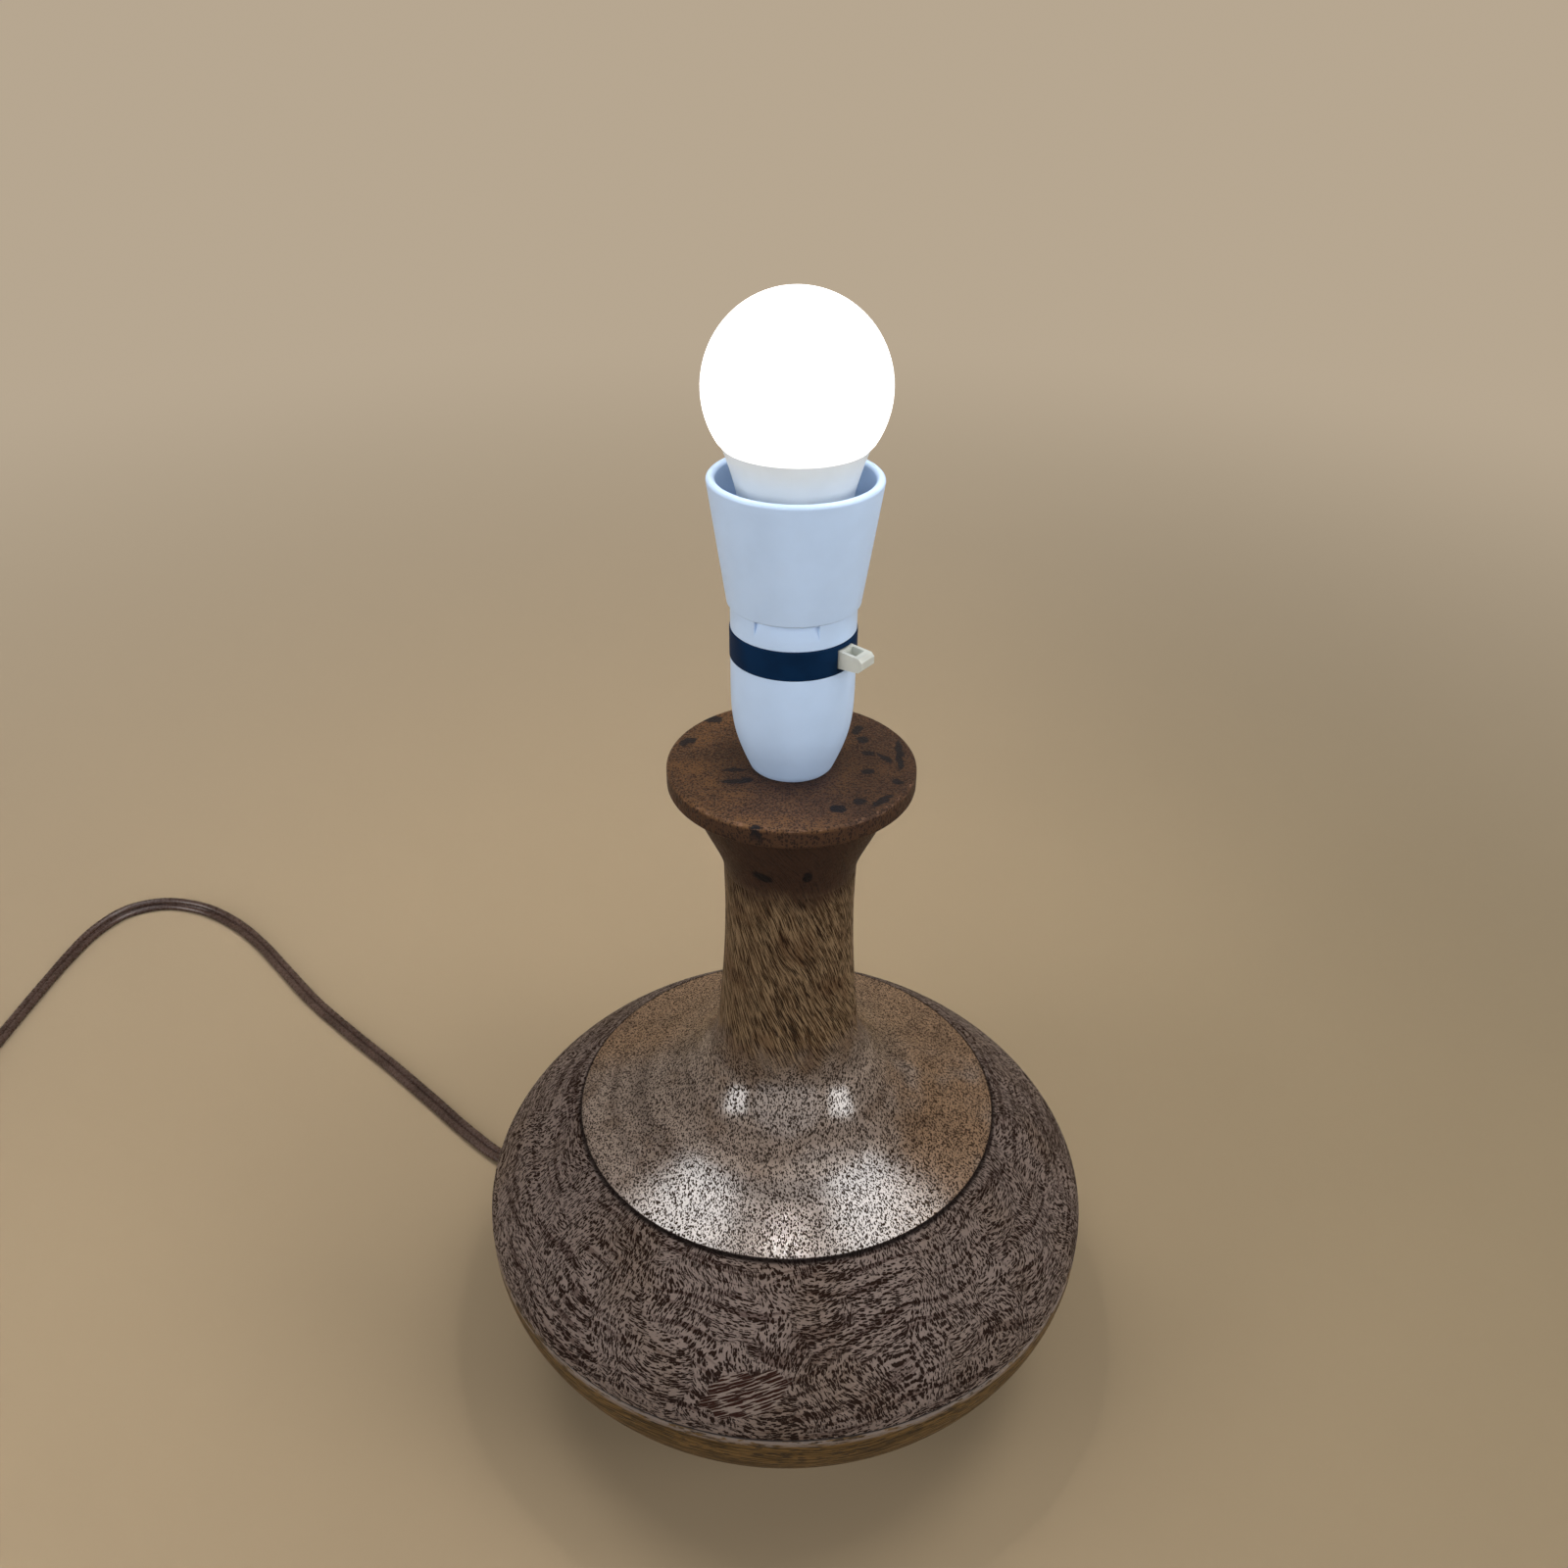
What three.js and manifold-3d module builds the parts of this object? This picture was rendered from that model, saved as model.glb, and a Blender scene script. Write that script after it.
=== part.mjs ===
// A turned wooden table lamp with a bayonet lampholder, a golf-ball bulb and a flat twin flex.
// Millimetres, +Z up. The origin is the centre of the foot, on the table.

import * as THREE from 'three';
import { mergeVertices } from 'three/addons/utils/BufferGeometryUtils.js';
import Module from 'manifold-3d';

const wasm = await Module();
wasm.setup();

// Facets round turned pieces, and steps along their curves
const woodSides = 40;
const holderSides = 28;
const bulbSides = 28;
const smallSides = 12;
const bendSteps = 5;
const roundSteps = 2;
const domeSteps = 8;

// Clearances that all pieces share
const gap = 0.3;
const overrun = 1;
const weldDistance = 0.0002;

// Felt pad under the foot
const padRadius = 50;
const padThickness = 1.5;

// Base bowl
const footRadius = 52.7;
const footChamfer = 0.8;
const bowlRadius = 94.6;
const bowlHeight = 56.5;
const bowlRimDrop = 3.5;
const bowlCurveShares = [[0.38, 0.21], [0, 0.38]];
const recessRadius = 42;
const recessDepth = 14.3;
const funnelRadius = 20;
const funnelHeight = 22;

// Belly, shoulder and neck, joined on flat faces with a V groove at each joint
const boreRadius = 5.5;
const grooveDepth = 0.7;
const bellyHeight = 36;
const bellyCurveShares = [[0.01, 0.35], [0.33, 0.19]];
const shoulderRadius = 64.2;
const shoulderBlockHeight = 90;
const neckFootRadius = 20.7;
const neckFootRise = 36;
const shoulderCurveShares = [[0.55, 0.17], [0.02, 0.62]];
const neckWaistRadius = 18.35;
const neckWaistRise = 78;
const neckCurveShares = [[0.48, 0.3], [0, 0.4]];
const neckTopRadius = 18.6;

// Top cap: a flared collar under a disc
const capHeight = 32.5;
const capCollarRadius = 28.5;
const capCurveShares = [[0.02, 0.23], [0.28, 0.43]];
const discRadius = 33.6;
const discThickness = 6;
const discArris = 1;

// Flat twin flex
const flexWidth = 6;
const flexThickness = 3;
const flexSectionShares = [
  [0.65, 0], [1, 0.45], [0.7, 0.86], [-0.7, 0.86], [-1, 0.45],
  [-0.65, 0], [-1, -0.45], [-0.7, -0.86], [0.7, -0.86], [1, -0.45],
];

// Bush where the flex leaves the base, on a level hole through the bowl's wall
const cordAzimuth = 151;
const cordHoleHeight = 14;
const cordHoleRadius = 4.6;
const bushSeatRadius = 59;
const bushSeatBore = 6.9;
const bushBodyRadius = 4.3;
const bushBodyLength = 10;
const bushFlangeRadius = 6.5;
const bushFlangeThickness = 2.2;
const bushSleeveLength = 25;
const bushTipRadius = 3.9;
const bushGrooves = 4;
const bushGrooveWidth = 1.5;
const bushGrooveDepth = 0.55;

// Clamp that holds the flex against the ceiling of the recess
const clampDistance = 31;
const clampLength = 28;
const clampWidth = 10;
const clampThickness = 2.8;
const clampScrewSpread = 9.5;
const clampScrewRadius = 1.5;
const clampScrewBite = 11;
const clampHeadRadius = 3.1;
const clampHeadHeight = 1.9;
const screwSlotWidth = 0.7;
const screwSlotDepth = 0.6;

// Flex inside the lamp
const flexBendRadius = 20;
const flexBendShare = 0.55;
const flexTopRise = 16.5;
const innerFlexSteps = 26;

// Threaded tube and nut that hold the lampholder on the cap
const nippleRadius = 5;
const nippleBore = 3.9;
const nippleDepth = 26;
const nippleRise = 13.5;
const nippleChamfer = 0.5;
const nutAcross = 14;
const nutThickness = 3;

// Lower barrel of the lampholder
const barrelFootRadius = 10.8;
const barrelFootStep = 0.4;
const barrelRadius = 16.15;
const barrelHeight = 32.5;
const barrelCurveHeight = 26.5;
const barrelCurveShares = [[0.95, 0.41], [0, 0.45]];
const barrelWall = 1.6;
const barrelFloor = 2;

// Terminal block, which shows as a dark band between barrel and socket
const holderAzimuth = -36.5;
const bandRadius = 16.35;
const bandHeight = 7.8;
const spigotDepth = 11;
const bossHeight = 0.8;

// Terminals with their clamping screws
const terminalWidth = 5.8;
const terminalDepth = 6;
const terminalHeight = 7.7;
const terminalOffset = 7.1;
const terminalDrop = 2.3;
const wireHoleRadius = 1.3;
const wireHoleDepth = 5;
const wireOffset = 6.2;
const wireRadius = 0.95;
const wireStartOffset = 1.5;
const wireSteps = 12;
const wireBendShare = 0.8;
const terminalScrewRadius = 1.3;
const terminalScrewReach = 2.4;
const terminalScrewHeadRadius = 2.3;
const terminalScrewHeadHeight = 1.8;

// Sprung contact plungers
const plungerOffset = 5.3;
const plungerRadius = 1.8;
const plungerTipRadius = 1.3;
const plungerTipHeight = 1.9;
const plungerCollarHeight = 4.3;
const springRadius = 1.3;
const springWireRadius = 0.2;
const springCurls = 5;
const springSteps = 8;
const springSides = 5;

// Push bar of the switch, which slides through the band
const barHeadWidth = 5.7;
const barHeadHeight = 4.9;
const barTipHeight = 3.8;
const barTipRound = 0.9;
const barReach = 6.5;
const barFarReach = 1.6;
const barHeadDepth = 2.15;
const barFarHeadDepth = 5.3;
const barTravel = 5;
const barShankWidth = 3.4;
const barShankHeight = 3;
const barPocketWall = 1;
const barPocketEnd = 2.4;
const barPocketStart = 0.5;
const barPocketFloor = 1.2;
const bridgeLength = 9;
const bridgeWidth = 3;
const bridgeThickness = 0.8;

// Bayonet socket with its collar
const collarRadius = 16.1;
const collarHeight = 6.7;
const sleeveBore = 11.3;
const sleeveRadius = 14.3;
const sleeveHeight = 22.2;
const notchAzimuth = -97;
const notchHalfAngle = 30;
const notchHeight = 4;
const notchDepth = 1.1;
const bulbTwist = 20;

// Skirt that screws on over the socket
const skirtFootRadius = 17;
const skirtRimRadius = 21.6;
const skirtHeight = 32.6;
const skirtWall = 1.6;
const skirtRimThickness = 2.2;
const skirtThreadHeight = 8;
const skirtLipHeight = 2;

// Bulb: cap, pins, housing, boards and diffuser
const capRadius = 11;
const capWall = 0.5;
const capBottomRise = 2.5;
const capTubeHeight = 22.7;
const insulatorHeight = 3.5;
const contactPadRadius = 1.7;
const contactPadHeight = 0.6;
const pinRise = 5.2;
const pinRadius = 1;
const pinInner = 9.6;
const pinOuter = 13.2;
const housingFootRadius = 12.5;
const housingSpigotDepth = 6;
const housingWall = 1.2;
const housingWaistRadius = 14.5;
const housingWaistRise = 10.6;
const housingRimRadius = 18;
const housingHeight = 21.7;
const ledgeWidth = 1.2;
const ledgeDrop = 2.8;
const boardThickness = 1.2;
const chipSize = 2.8;
const chipHeight = 0.7;
const chipRing = 10;
const chipCount = 8;
const driverWidth = 14;
const driverThickness = 1.6;
const capacitorRadius = 3.2;
const capacitorLength = 9;
const inductorSize = 6;
const bulbRadius = 22.5;
const bulbCentreRise = 13.1;
const diffuserLipRise = 1.3;
const diffuserWall = 1;

// Stored coil of flex, flat on the table, with its tie
const coilMeanRadius = 36;
const coilPitch = 6.6;
const coilLayerPitch = 3.6;
const coilTurns = 5;
const coilClimbTurns = 0.25;
const coilStepsPerTurn = 24;
const coilSectionShares = [[1, 0.5], [0, 1], [-1, 0.5], [-1, -0.5], [0, -1], [1, -0.5]];
const tieThickness = 0.6;
const tieWidth = 4;

// Route of the free flex over the table, hand-placed: it lies as the lamp was set down
const freeRoute = [
  [-88, 48.6, 10.6], [-98, 53.6, 5.6], [-108.6, 59.2, 2.4], [-123.2, 71.4, 1.6], [-142.5, 89.8, 1.55],
  [-162.9, 108.8, 1.55], [-184, 127.6, 1.55], [-206.9, 149, 1.55], [-226.9, 171, 1.55],
  [-243.6, 189.3, 1.55], [-260.5, 203.8, 1.55], [-280, 214.2, 1.55], [-299, 216.8, 1.55],
  [-313.5, 210.5, 1.55], [-322, 197, 1.55], [-326.8, 178, 1.55], [-329.6, 156.5, 1.55],
  [-331.6, 134, 1.55], [-333.2, 115, 1.7], [-334.2, 103, 2.1], [-334.5, 97.8, 2.4],
];
const freeSteps = 34;
const tailRoute = [
  [-334.5, 77, 6], [-334.5, 70, 5.9], [-334.4, 62, 5.1], [-334.6, 52, 3], [-335.6, 42, 1.7],
  [-338.6, 31.5, 1.55], [-344.6, 21.5, 1.7], [-353, 14, 3.6], [-362.5, 9.6, 7.2], [-370.5, 8.1, 9.9],
];
const tailSteps = 12;
const tailInside = 11.5;

// Mains plug lying on its back beside the coil, pins up
const plugHalfWidth = 24;
const plugTopY = 25;
const plugBottomY = -24;
const plugSlopeY = -4;
const plugMouthHalfWidth = 15;
const plugCorner = 5;
const coverHeight = 9;
const plugBaseHeight = 10.5;
const plugWall = 2.4;
const plugFaceWall = 3.3;
const plugEntryX = -379;
const plugEntryY = 8;
const plugFlexRise = 1.8;
const pinSpread = 11.1;
const linePinY = -7.2;
const earthPinY = 15;
const linePinWidth = 6.35;
const pinDepth = 4;
const linePinLength = 17.7;
const earthPinDepth = 8;
const earthPinLength = 22.7;
const pinFlange = 0.9;
const pinFlangeHeight = 2;
const pinTailLength = 3.4;
const fuseRadius = 3.15;
const fuseLength = 25.4;
const fuseX = -17;
const fuseY = 6.7;
const fuseRibThickness = 2;
const fuseRibSpread = 8;
const fuseSeatRise = 1.2;
const coverScrewY = 3.5;
const coverScrewRadius = 1.7;
const coverScrewHeadRadius = 3.2;
const coverScrewHeadHeight = 2;
const coverScrewEndRise = 1.4;
const postRadius = 4;
const gripY = -18;
const gripLength = 22;
const gripWidth = 5;
const gripThickness = 2.4;
const gripScrewSpread = 7.5;
const gripScrewRadius = 1.2;
const gripScrewHeadRadius = 2.2;
const gripScrewHeadHeight = 1.4;
const gripScrewBite = 3.2;

// Levels, from the table up
const footZ = padThickness;
const bellyZ = footZ + bowlHeight;
const shoulderZ = bellyZ + bellyHeight;
const capZ = shoulderZ + shoulderBlockHeight;
const discZ = capZ + capHeight;
const recessZ = footZ + recessDepth;
const bandZ = discZ + barrelHeight;
const socketZ = bandZ + bandHeight;
const spigotZ = bandZ - spigotDepth;
const bossZ = socketZ + bossHeight;
const ledgeZ = socketZ + collarHeight;
const skirtZ = ledgeZ + gap;
const bulbBottomZ = socketZ + capBottomRise;
const pinZ = bulbBottomZ + pinRise;
const housingZ = bulbBottomZ + gap + capTubeHeight;
const diffuserZ = housingZ + housingHeight;
const bulbCentreZ = diffuserZ + bulbCentreRise;
const barZ = bandZ + bandHeight / 2;
const shankBottomZ = barZ - barShankHeight / 2;
const terminalBottomZ = spigotZ + gap * 3;
const terminalTopZ = terminalBottomZ + terminalHeight;
const terminalScrewZ = terminalBottomZ + wireHoleDepth - terminalDrop + gap;
const plungerTopZ = bulbBottomZ - contactPadHeight - gap;
const plungerShoulderZ = plungerTopZ - plungerTipHeight;
const plungerBottomZ = plungerShoulderZ - plungerCollarHeight;

// Radii that follow their neighbours
const capBore = nippleRadius + gap;
const spigotRadius = barrelRadius - barrelWall - gap;
const bossRadius = sleeveBore - gap;
const bushTipDistance = bushSeatRadius + bushFlangeThickness + bushSleeveLength;
const holderTurn = THREE.MathUtils.degToRad(holderAzimuth);
const cordTurn = THREE.MathUtils.degToRad(cordAzimuth);

/** A manifold solid of a closed geometry, its faces turned outwards. */
function solid(geometry) {
  const bare = geometry.clone();
  bare.deleteAttribute('normal');
  bare.deleteAttribute('uv');
  const welded = mergeVertices(bare, weldDistance);
  const places = welded.attributes.position.array;
  const corners = [];
  let volume = 0;
  const point = (index) => new THREE.Vector3().fromArray(places, index * 3);
  for (let start = 0; start < welded.index.count; start += 3) {
    const [a, b, c] = welded.index.array.slice(start, start + 3);
    if (a === b || b === c || c === a) continue;
    corners.push([a, b, c]);
    volume += point(a).dot(point(b).cross(point(c)));
  }
  const outward = volume > 0 ? corners : corners.map(([a, b, c]) => [a, c, b]);
  return new wasm.Manifold(new wasm.Mesh({
    numProp: 3,
    vertProperties: new Float32Array(places),
    triVerts: new Uint32Array(outward.flat()),
  }));
}

/** The geometry of a manifold solid. */
function geometryOf(body) {
  const mesh = body.getMesh();
  const geometry = new THREE.BufferGeometry();
  geometry.setAttribute('position', new THREE.BufferAttribute(mesh.vertProperties, 3));
  geometry.setIndex(new THREE.BufferAttribute(mesh.triVerts, 1));
  geometry.computeVertexNormals();
  return geometry;
}

/** The body with every tool's space taken away. */
function cut(body, ...tools) {
  return geometryOf(tools.reduce((rest, tool) => rest.subtract(solid(tool)), solid(body)));
}

/** The body and its additions as one solid. */
function join(body, ...additions) {
  return geometryOf(additions.reduce((whole, next) => whole.add(solid(next)), solid(body)));
}

/** What two bodies share. */
function common(body, other) {
  return geometryOf(solid(body).intersect(solid(other)));
}

/** A ring turned about Z from a closed outline of [radius, height] points. */
function ring(outline, sides = holderSides) {
  return turned([...outline, outline[0]], sides);
}

/** A body turned about Z from an outline that begins and ends on the axis. */
function turned(outline, sides = holderSides) {
  const points = outline.map(([radius, height]) => new THREE.Vector2(radius, height));
  return new THREE.LatheGeometry(points, sides).rotateX(Math.PI / 2);
}

/** Points of a curve whose two handles are shares of the step from start to end. */
function bend([r0, z0], [r1, z1], [startShares, endShares]) {
  const across = r1 - r0;
  const up = z1 - z0;
  const curve = new THREE.CubicBezierCurve(
    new THREE.Vector2(r0, z0),
    new THREE.Vector2(r0 + across * startShares[0], z0 + up * startShares[1]),
    new THREE.Vector2(r1 - across * endShares[0], z1 - up * endShares[1]),
    new THREE.Vector2(r1, z1),
  );
  return curve.getPoints(bendSteps).map((point) => [point.x, point.y]);
}

/** Points of an arc, anticlockwise when the second angle is larger, in degrees. */
function arc([r, z], radius, from, to, steps = roundSteps) {
  const angles = [from, to].map(THREE.MathUtils.degToRad);
  const curve = new THREE.EllipseCurve(r, z, radius, radius, ...angles, to < from);
  return curve.getPoints(steps).map((point) => [point.x, point.y]);
}

/** A box from one corner to the opposite one. */
function block([x0, y0, z0], [x1, y1, z1]) {
  const box = new THREE.BoxGeometry(x1 - x0, y1 - y0, z1 - z0);
  return box.translate((x0 + x1) / 2, (y0 + y1) / 2, (z0 + z1) / 2);
}

/** A round bar between two heights, on an upright axis at x, y. */
function uprightRod(radius, from, to, [x, y] = [0, 0], sides = smallSides) {
  const rod = new THREE.CylinderGeometry(radius, radius, to - from, sides);
  return rod.rotateX(Math.PI / 2).translate(x, y, (from + to) / 2);
}

/** A round bar along X between two distances, at y, z. */
function levelRod(radius, from, to, [y, z], sides = smallSides) {
  const rod = new THREE.CylinderGeometry(radius, radius, to - from, sides);
  return rod.rotateZ(Math.PI / 2).translate((from + to) / 2, y, z);
}

/** A flat outline of [x, y] points raised between two heights. */
function slab(outline, from, to) {
  const shape = new THREE.Shape(outline.map(([x, y]) => new THREE.Vector2(x, y)));
  const raised = new THREE.ExtrudeGeometry(shape, { depth: to - from, bevelEnabled: false });
  return raised.translate(0, 0, from);
}

/** A wedge of a flat ring, open to both faces, between two angles in degrees. */
function sector(inner, outer, from, to, bottom, top) {
  const outline = [...arc([0, 0], outer, from, to, bendSteps), ...arc([0, 0], inner, to, from, bendSteps)];
  return slab(outline, bottom, top);
}

/** A flat-flex tube along a smooth path. */
function flexAlong(path, steps) {
  const halves = [flexThickness / 2, flexWidth / 2];
  const points = flexSectionShares.map(([x, y]) => new THREE.Vector2(x * halves[0], y * halves[1]));
  const shape = new THREE.Shape(points);
  return new THREE.ExtrudeGeometry(shape, { steps, bevelEnabled: false, extrudePath: path });
}

/** A smooth path whose frames stay level, so that a flat flex along it never twists. */
class LevelPath extends THREE.CatmullRomCurve3 {
  computeFrenetFrames(segments) {
    const up = new THREE.Vector3(0, 0, 1);
    const steps = Array.from({ length: segments + 1 }, (_, step) => step / segments);
    const tangents = steps.map((share) => this.getTangentAt(share));
    const binormals = tangents.map((tangent) => tangent.clone().cross(up).normalize());
    const normals = tangents.map((tangent, step) => binormals[step].clone().cross(tangent));
    return { tangents, normals, binormals };
  }
}

/** A smooth level path through a list of places. */
function levelPath(places) {
  return new LevelPath(places.map((place) => new THREE.Vector3(...place)));
}

/** One closed tube through rings of points, with a cap on each end. */
function tubeOfRings(rings) {
  const sides = rings[0].length;
  const corners = [];
  for (let step = 1; step < rings.length; step += 1) {
    for (let side = 0; side < sides; side += 1) {
      const next = (side + 1) % sides;
      const [a, b] = [(step - 1) * sides + side, (step - 1) * sides + next];
      corners.push([a, b, a + sides], [b, b + sides, a + sides]);
    }
  }
  const last = (rings.length - 1) * sides;
  for (let side = 1; side < sides - 1; side += 1) {
    corners.push([0, side + 1, side], [last, last + side, last + side + 1]);
  }
  const geometry = new THREE.BufferGeometry();
  const places = rings.flat().flatMap((point) => point.toArray());
  geometry.setAttribute('position', new THREE.Float32BufferAttribute(places, 3));
  geometry.setIndex(corners.flat());
  geometry.computeVertexNormals();
  return geometryOf(solid(geometry));
}

/** The least distance between rings that are at least half a turn apart. */
function leastGap(rings, stepsPerTurn) {
  const dense = [];
  rings.forEach((points, step) => {
    const after = rings[Math.min(step + 1, rings.length - 1)];
    points.forEach((point, side) => {
      const beside = points[(side + 1) % points.length];
      dense.push({ step, place: point });
      dense.push({ step, place: point.clone().lerp(beside, 0.5) });
      dense.push({ step, place: point.clone().lerp(after[side], 0.5) });
    });
  });
  let least = Infinity;
  for (const one of dense) {
    for (const other of dense) {
      if (other.step - one.step < stepsPerTurn / 2) continue;
      least = Math.min(least, one.place.distanceTo(other.place));
    }
  }
  return least;
}

/** Felt disc that the lamp stands on. */
function feltPad() {
  return uprightRod(padRadius, 0, padThickness, [0, 0], woodSides);
}

/** Turns a geometry, made along +X, to the side where the flex leaves. */
function toCordSide(geometry) {
  return geometry.rotateZ(cordTurn);
}

/** The lower wooden bowl, with the recess under it and the way in for the flex. */
function baseBowl() {
  const rimZ = bellyZ - bowlRimDrop;
  const body = ring([
    [boreRadius, bellyZ],
    [boreRadius, recessZ + funnelHeight],
    [funnelRadius, recessZ],
    [recessRadius, recessZ],
    [recessRadius, footZ],
    [footRadius - footChamfer, footZ],
    ...bend([footRadius, footZ + footChamfer], [bowlRadius, rimZ], bowlCurveShares),
    [bowlRadius, bellyZ - grooveDepth],
    [bowlRadius - grooveDepth, bellyZ],
  ], woodSides);
  const inner = Math.min(recessRadius, bushSeatRadius - bushBodyLength) - overrun;
  const hole = levelRod(cordHoleRadius, inner, bowlRadius, [0, cordHoleHeight]);
  const seat = levelRod(bushSeatBore, bushSeatRadius, bowlRadius, [0, cordHoleHeight]);
  const pilots = [-clampScrewSpread, clampScrewSpread].map((y) => uprightRod(
    clampScrewRadius + gap,
    recessZ - overrun,
    recessZ + clampScrewBite + gap,
    [clampDistance, y],
  ));
  return cut(body, ...[hole, seat, ...pilots].map(toCordSide));
}

/** The textured belly that rises from the bowl's rim to the shoulder. */
function belly() {
  return ring([
    [boreRadius, bellyZ],
    [bowlRadius - grooveDepth, bellyZ],
    ...bend(
      [bowlRadius, bellyZ + grooveDepth],
      [shoulderRadius + grooveDepth, shoulderZ - grooveDepth / 2],
      bellyCurveShares,
    ),
    [shoulderRadius - grooveDepth, shoulderZ],
    [boreRadius, shoulderZ],
  ], woodSides);
}

/** Shoulder and neck, turned from one block. */
function neckAndShoulder() {
  const neckFoot = [neckFootRadius, shoulderZ + neckFootRise];
  const neckWaist = [neckWaistRadius, shoulderZ + neckWaistRise];
  return ring([
    [boreRadius, shoulderZ],
    [shoulderRadius - grooveDepth, shoulderZ],
    ...bend([shoulderRadius, shoulderZ + grooveDepth], neckFoot, shoulderCurveShares),
    ...bend(neckFoot, neckWaist, neckCurveShares).slice(1),
    [neckTopRadius, capZ],
    [boreRadius, capZ],
  ], woodSides);
}

/** Disc and flared collar on top of the neck. */
function topCap() {
  const underZ = discZ - discThickness;
  const edge = discRadius - discArris;
  return ring([
    [capBore, capZ],
    ...bend([neckTopRadius, capZ], [capCollarRadius, underZ], capCurveShares),
    ...arc([edge, underZ + discArris], discArris, -90, 0),
    ...arc([edge, discZ - discArris], discArris, 0, 90),
    [capBore, discZ],
  ], woodSides);
}

/** Ribbed rubber bush that the flex leaves the base through. */
function cordBush() {
  const seat = bushSeatRadius;
  const sleeve = seat + bushFlangeThickness;
  const tip = sleeve + bushSleeveLength;
  const shrink = (bushBodyRadius - bushTipRadius) / bushSleeveLength;
  const pitch = bushSleeveLength / (bushGrooves + 1);
  const outline = [[0, seat - bushBodyLength], [bushBodyRadius, seat - bushBodyLength]];
  outline.push([bushBodyRadius, seat], [bushFlangeRadius, seat], [bushFlangeRadius, sleeve]);
  for (let groove = 0; groove < bushGrooves; groove += 1) {
    const from = pitch * (groove + 1) - bushGrooveWidth / 2;
    const radius = bushBodyRadius - shrink * from;
    outline.push([radius, sleeve + from], [radius - bushGrooveDepth, sleeve + from]);
    outline.push([radius - bushGrooveDepth, sleeve + from + bushGrooveWidth]);
    outline.push([radius, sleeve + from + bushGrooveWidth]);
  }
  outline.push([bushTipRadius, tip], [0, tip]);
  const body = turned(outline, smallSides).rotateY(Math.PI / 2);
  const half = [flexThickness / 2 + gap, flexWidth / 2 + gap];
  const bore = block(
    [seat - bushBodyLength - overrun, -half[1], -half[0]],
    [tip + overrun, half[1], half[0]],
  );
  return toCordSide(cut(body, bore).translate(0, 0, cordHoleHeight));
}

/** Saddle that bridges the flex under the ceiling of the recess. */
function cordClamp() {
  const bottom = cordHoleHeight - flexThickness / 2 - gap - clampThickness;
  const [x0, x1] = [clampDistance - clampWidth / 2, clampDistance + clampWidth / 2];
  const body = block([x0, -clampLength / 2, bottom], [x1, clampLength / 2, recessZ]);
  const way = block(
    [x0 - overrun, -flexWidth / 2 - gap, bottom + clampThickness],
    [x1 + overrun, flexWidth / 2 + gap, recessZ + overrun],
  );
  const holes = [-clampScrewSpread, clampScrewSpread].map((y) => uprightRod(
    clampScrewRadius + gap,
    bottom - overrun,
    recessZ + overrun,
    [clampDistance, y],
  ));
  return toCordSide(cut(body, way, ...holes));
}

/** One wood screw of the clamp, its slotted head down. */
function clampScrew(side) {
  const headTop = cordHoleHeight - flexThickness / 2 - gap - clampThickness;
  const headBottom = headTop - clampHeadHeight;
  const y = side * clampScrewSpread;
  const tip = recessZ + clampScrewBite;
  const screw = turned([
    [0, headBottom],
    [clampHeadRadius, headBottom + screwSlotDepth],
    [clampHeadRadius, headTop],
    [clampScrewRadius, headTop],
    [clampScrewRadius, tip - clampScrewRadius],
    [0, tip],
  ], smallSides).translate(clampDistance, y, 0);
  const slot = block(
    [clampDistance - clampHeadRadius - overrun, y - screwSlotWidth / 2, headBottom - overrun],
    [clampDistance + clampHeadRadius + overrun, y + screwSlotWidth / 2, headBottom + screwSlotDepth * 2],
  );
  return toCordSide(cut(screw, slot));
}

/** The flex from the bush's tip through the base, up the bore and into the lampholder. */
function innerFlex() {
  const turn = flexBendRadius;
  const top = discZ + flexTopRise;
  const level = cordHoleHeight;
  const path = new THREE.CurvePath();
  const place = (distance, height) => new THREE.Vector3(
    distance * Math.cos(cordTurn),
    distance * Math.sin(cordTurn),
    height,
  );
  path.add(new THREE.LineCurve3(place(bushTipDistance, level), place(turn, level)));
  path.add(new THREE.CubicBezierCurve3(
    place(turn, level),
    place(turn * (1 - flexBendShare), level),
    place(0, level + turn * (1 - flexBendShare)),
    place(0, level + turn),
  ));
  path.add(new THREE.LineCurve3(place(0, level + turn), place(0, top)));
  return flexAlong(path, innerFlexSteps);
}

/** Threaded tube that stands in the cap and carries the lampholder. */
function entryNipple() {
  const [bottom, top] = [discZ - nippleDepth, discZ + nippleRise];
  return ring([
    [nippleBore, bottom],
    [nippleRadius - nippleChamfer, bottom],
    [nippleRadius, bottom + nippleChamfer],
    [nippleRadius, top - nippleChamfer],
    [nippleRadius - nippleChamfer, top],
    [nippleBore, top],
  ], smallSides);
}

/** Hexagon nut inside the barrel. */
function lockNut() {
  const bottom = discZ + barrelFloor;
  const corner = nutAcross / 2 / Math.cos(Math.PI / 6);
  const body = uprightRod(corner, bottom, bottom + nutThickness, [0, 0], 6);
  return cut(body, uprightRod(capBore, bottom - overrun, bottom + nutThickness + overrun));
}

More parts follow.
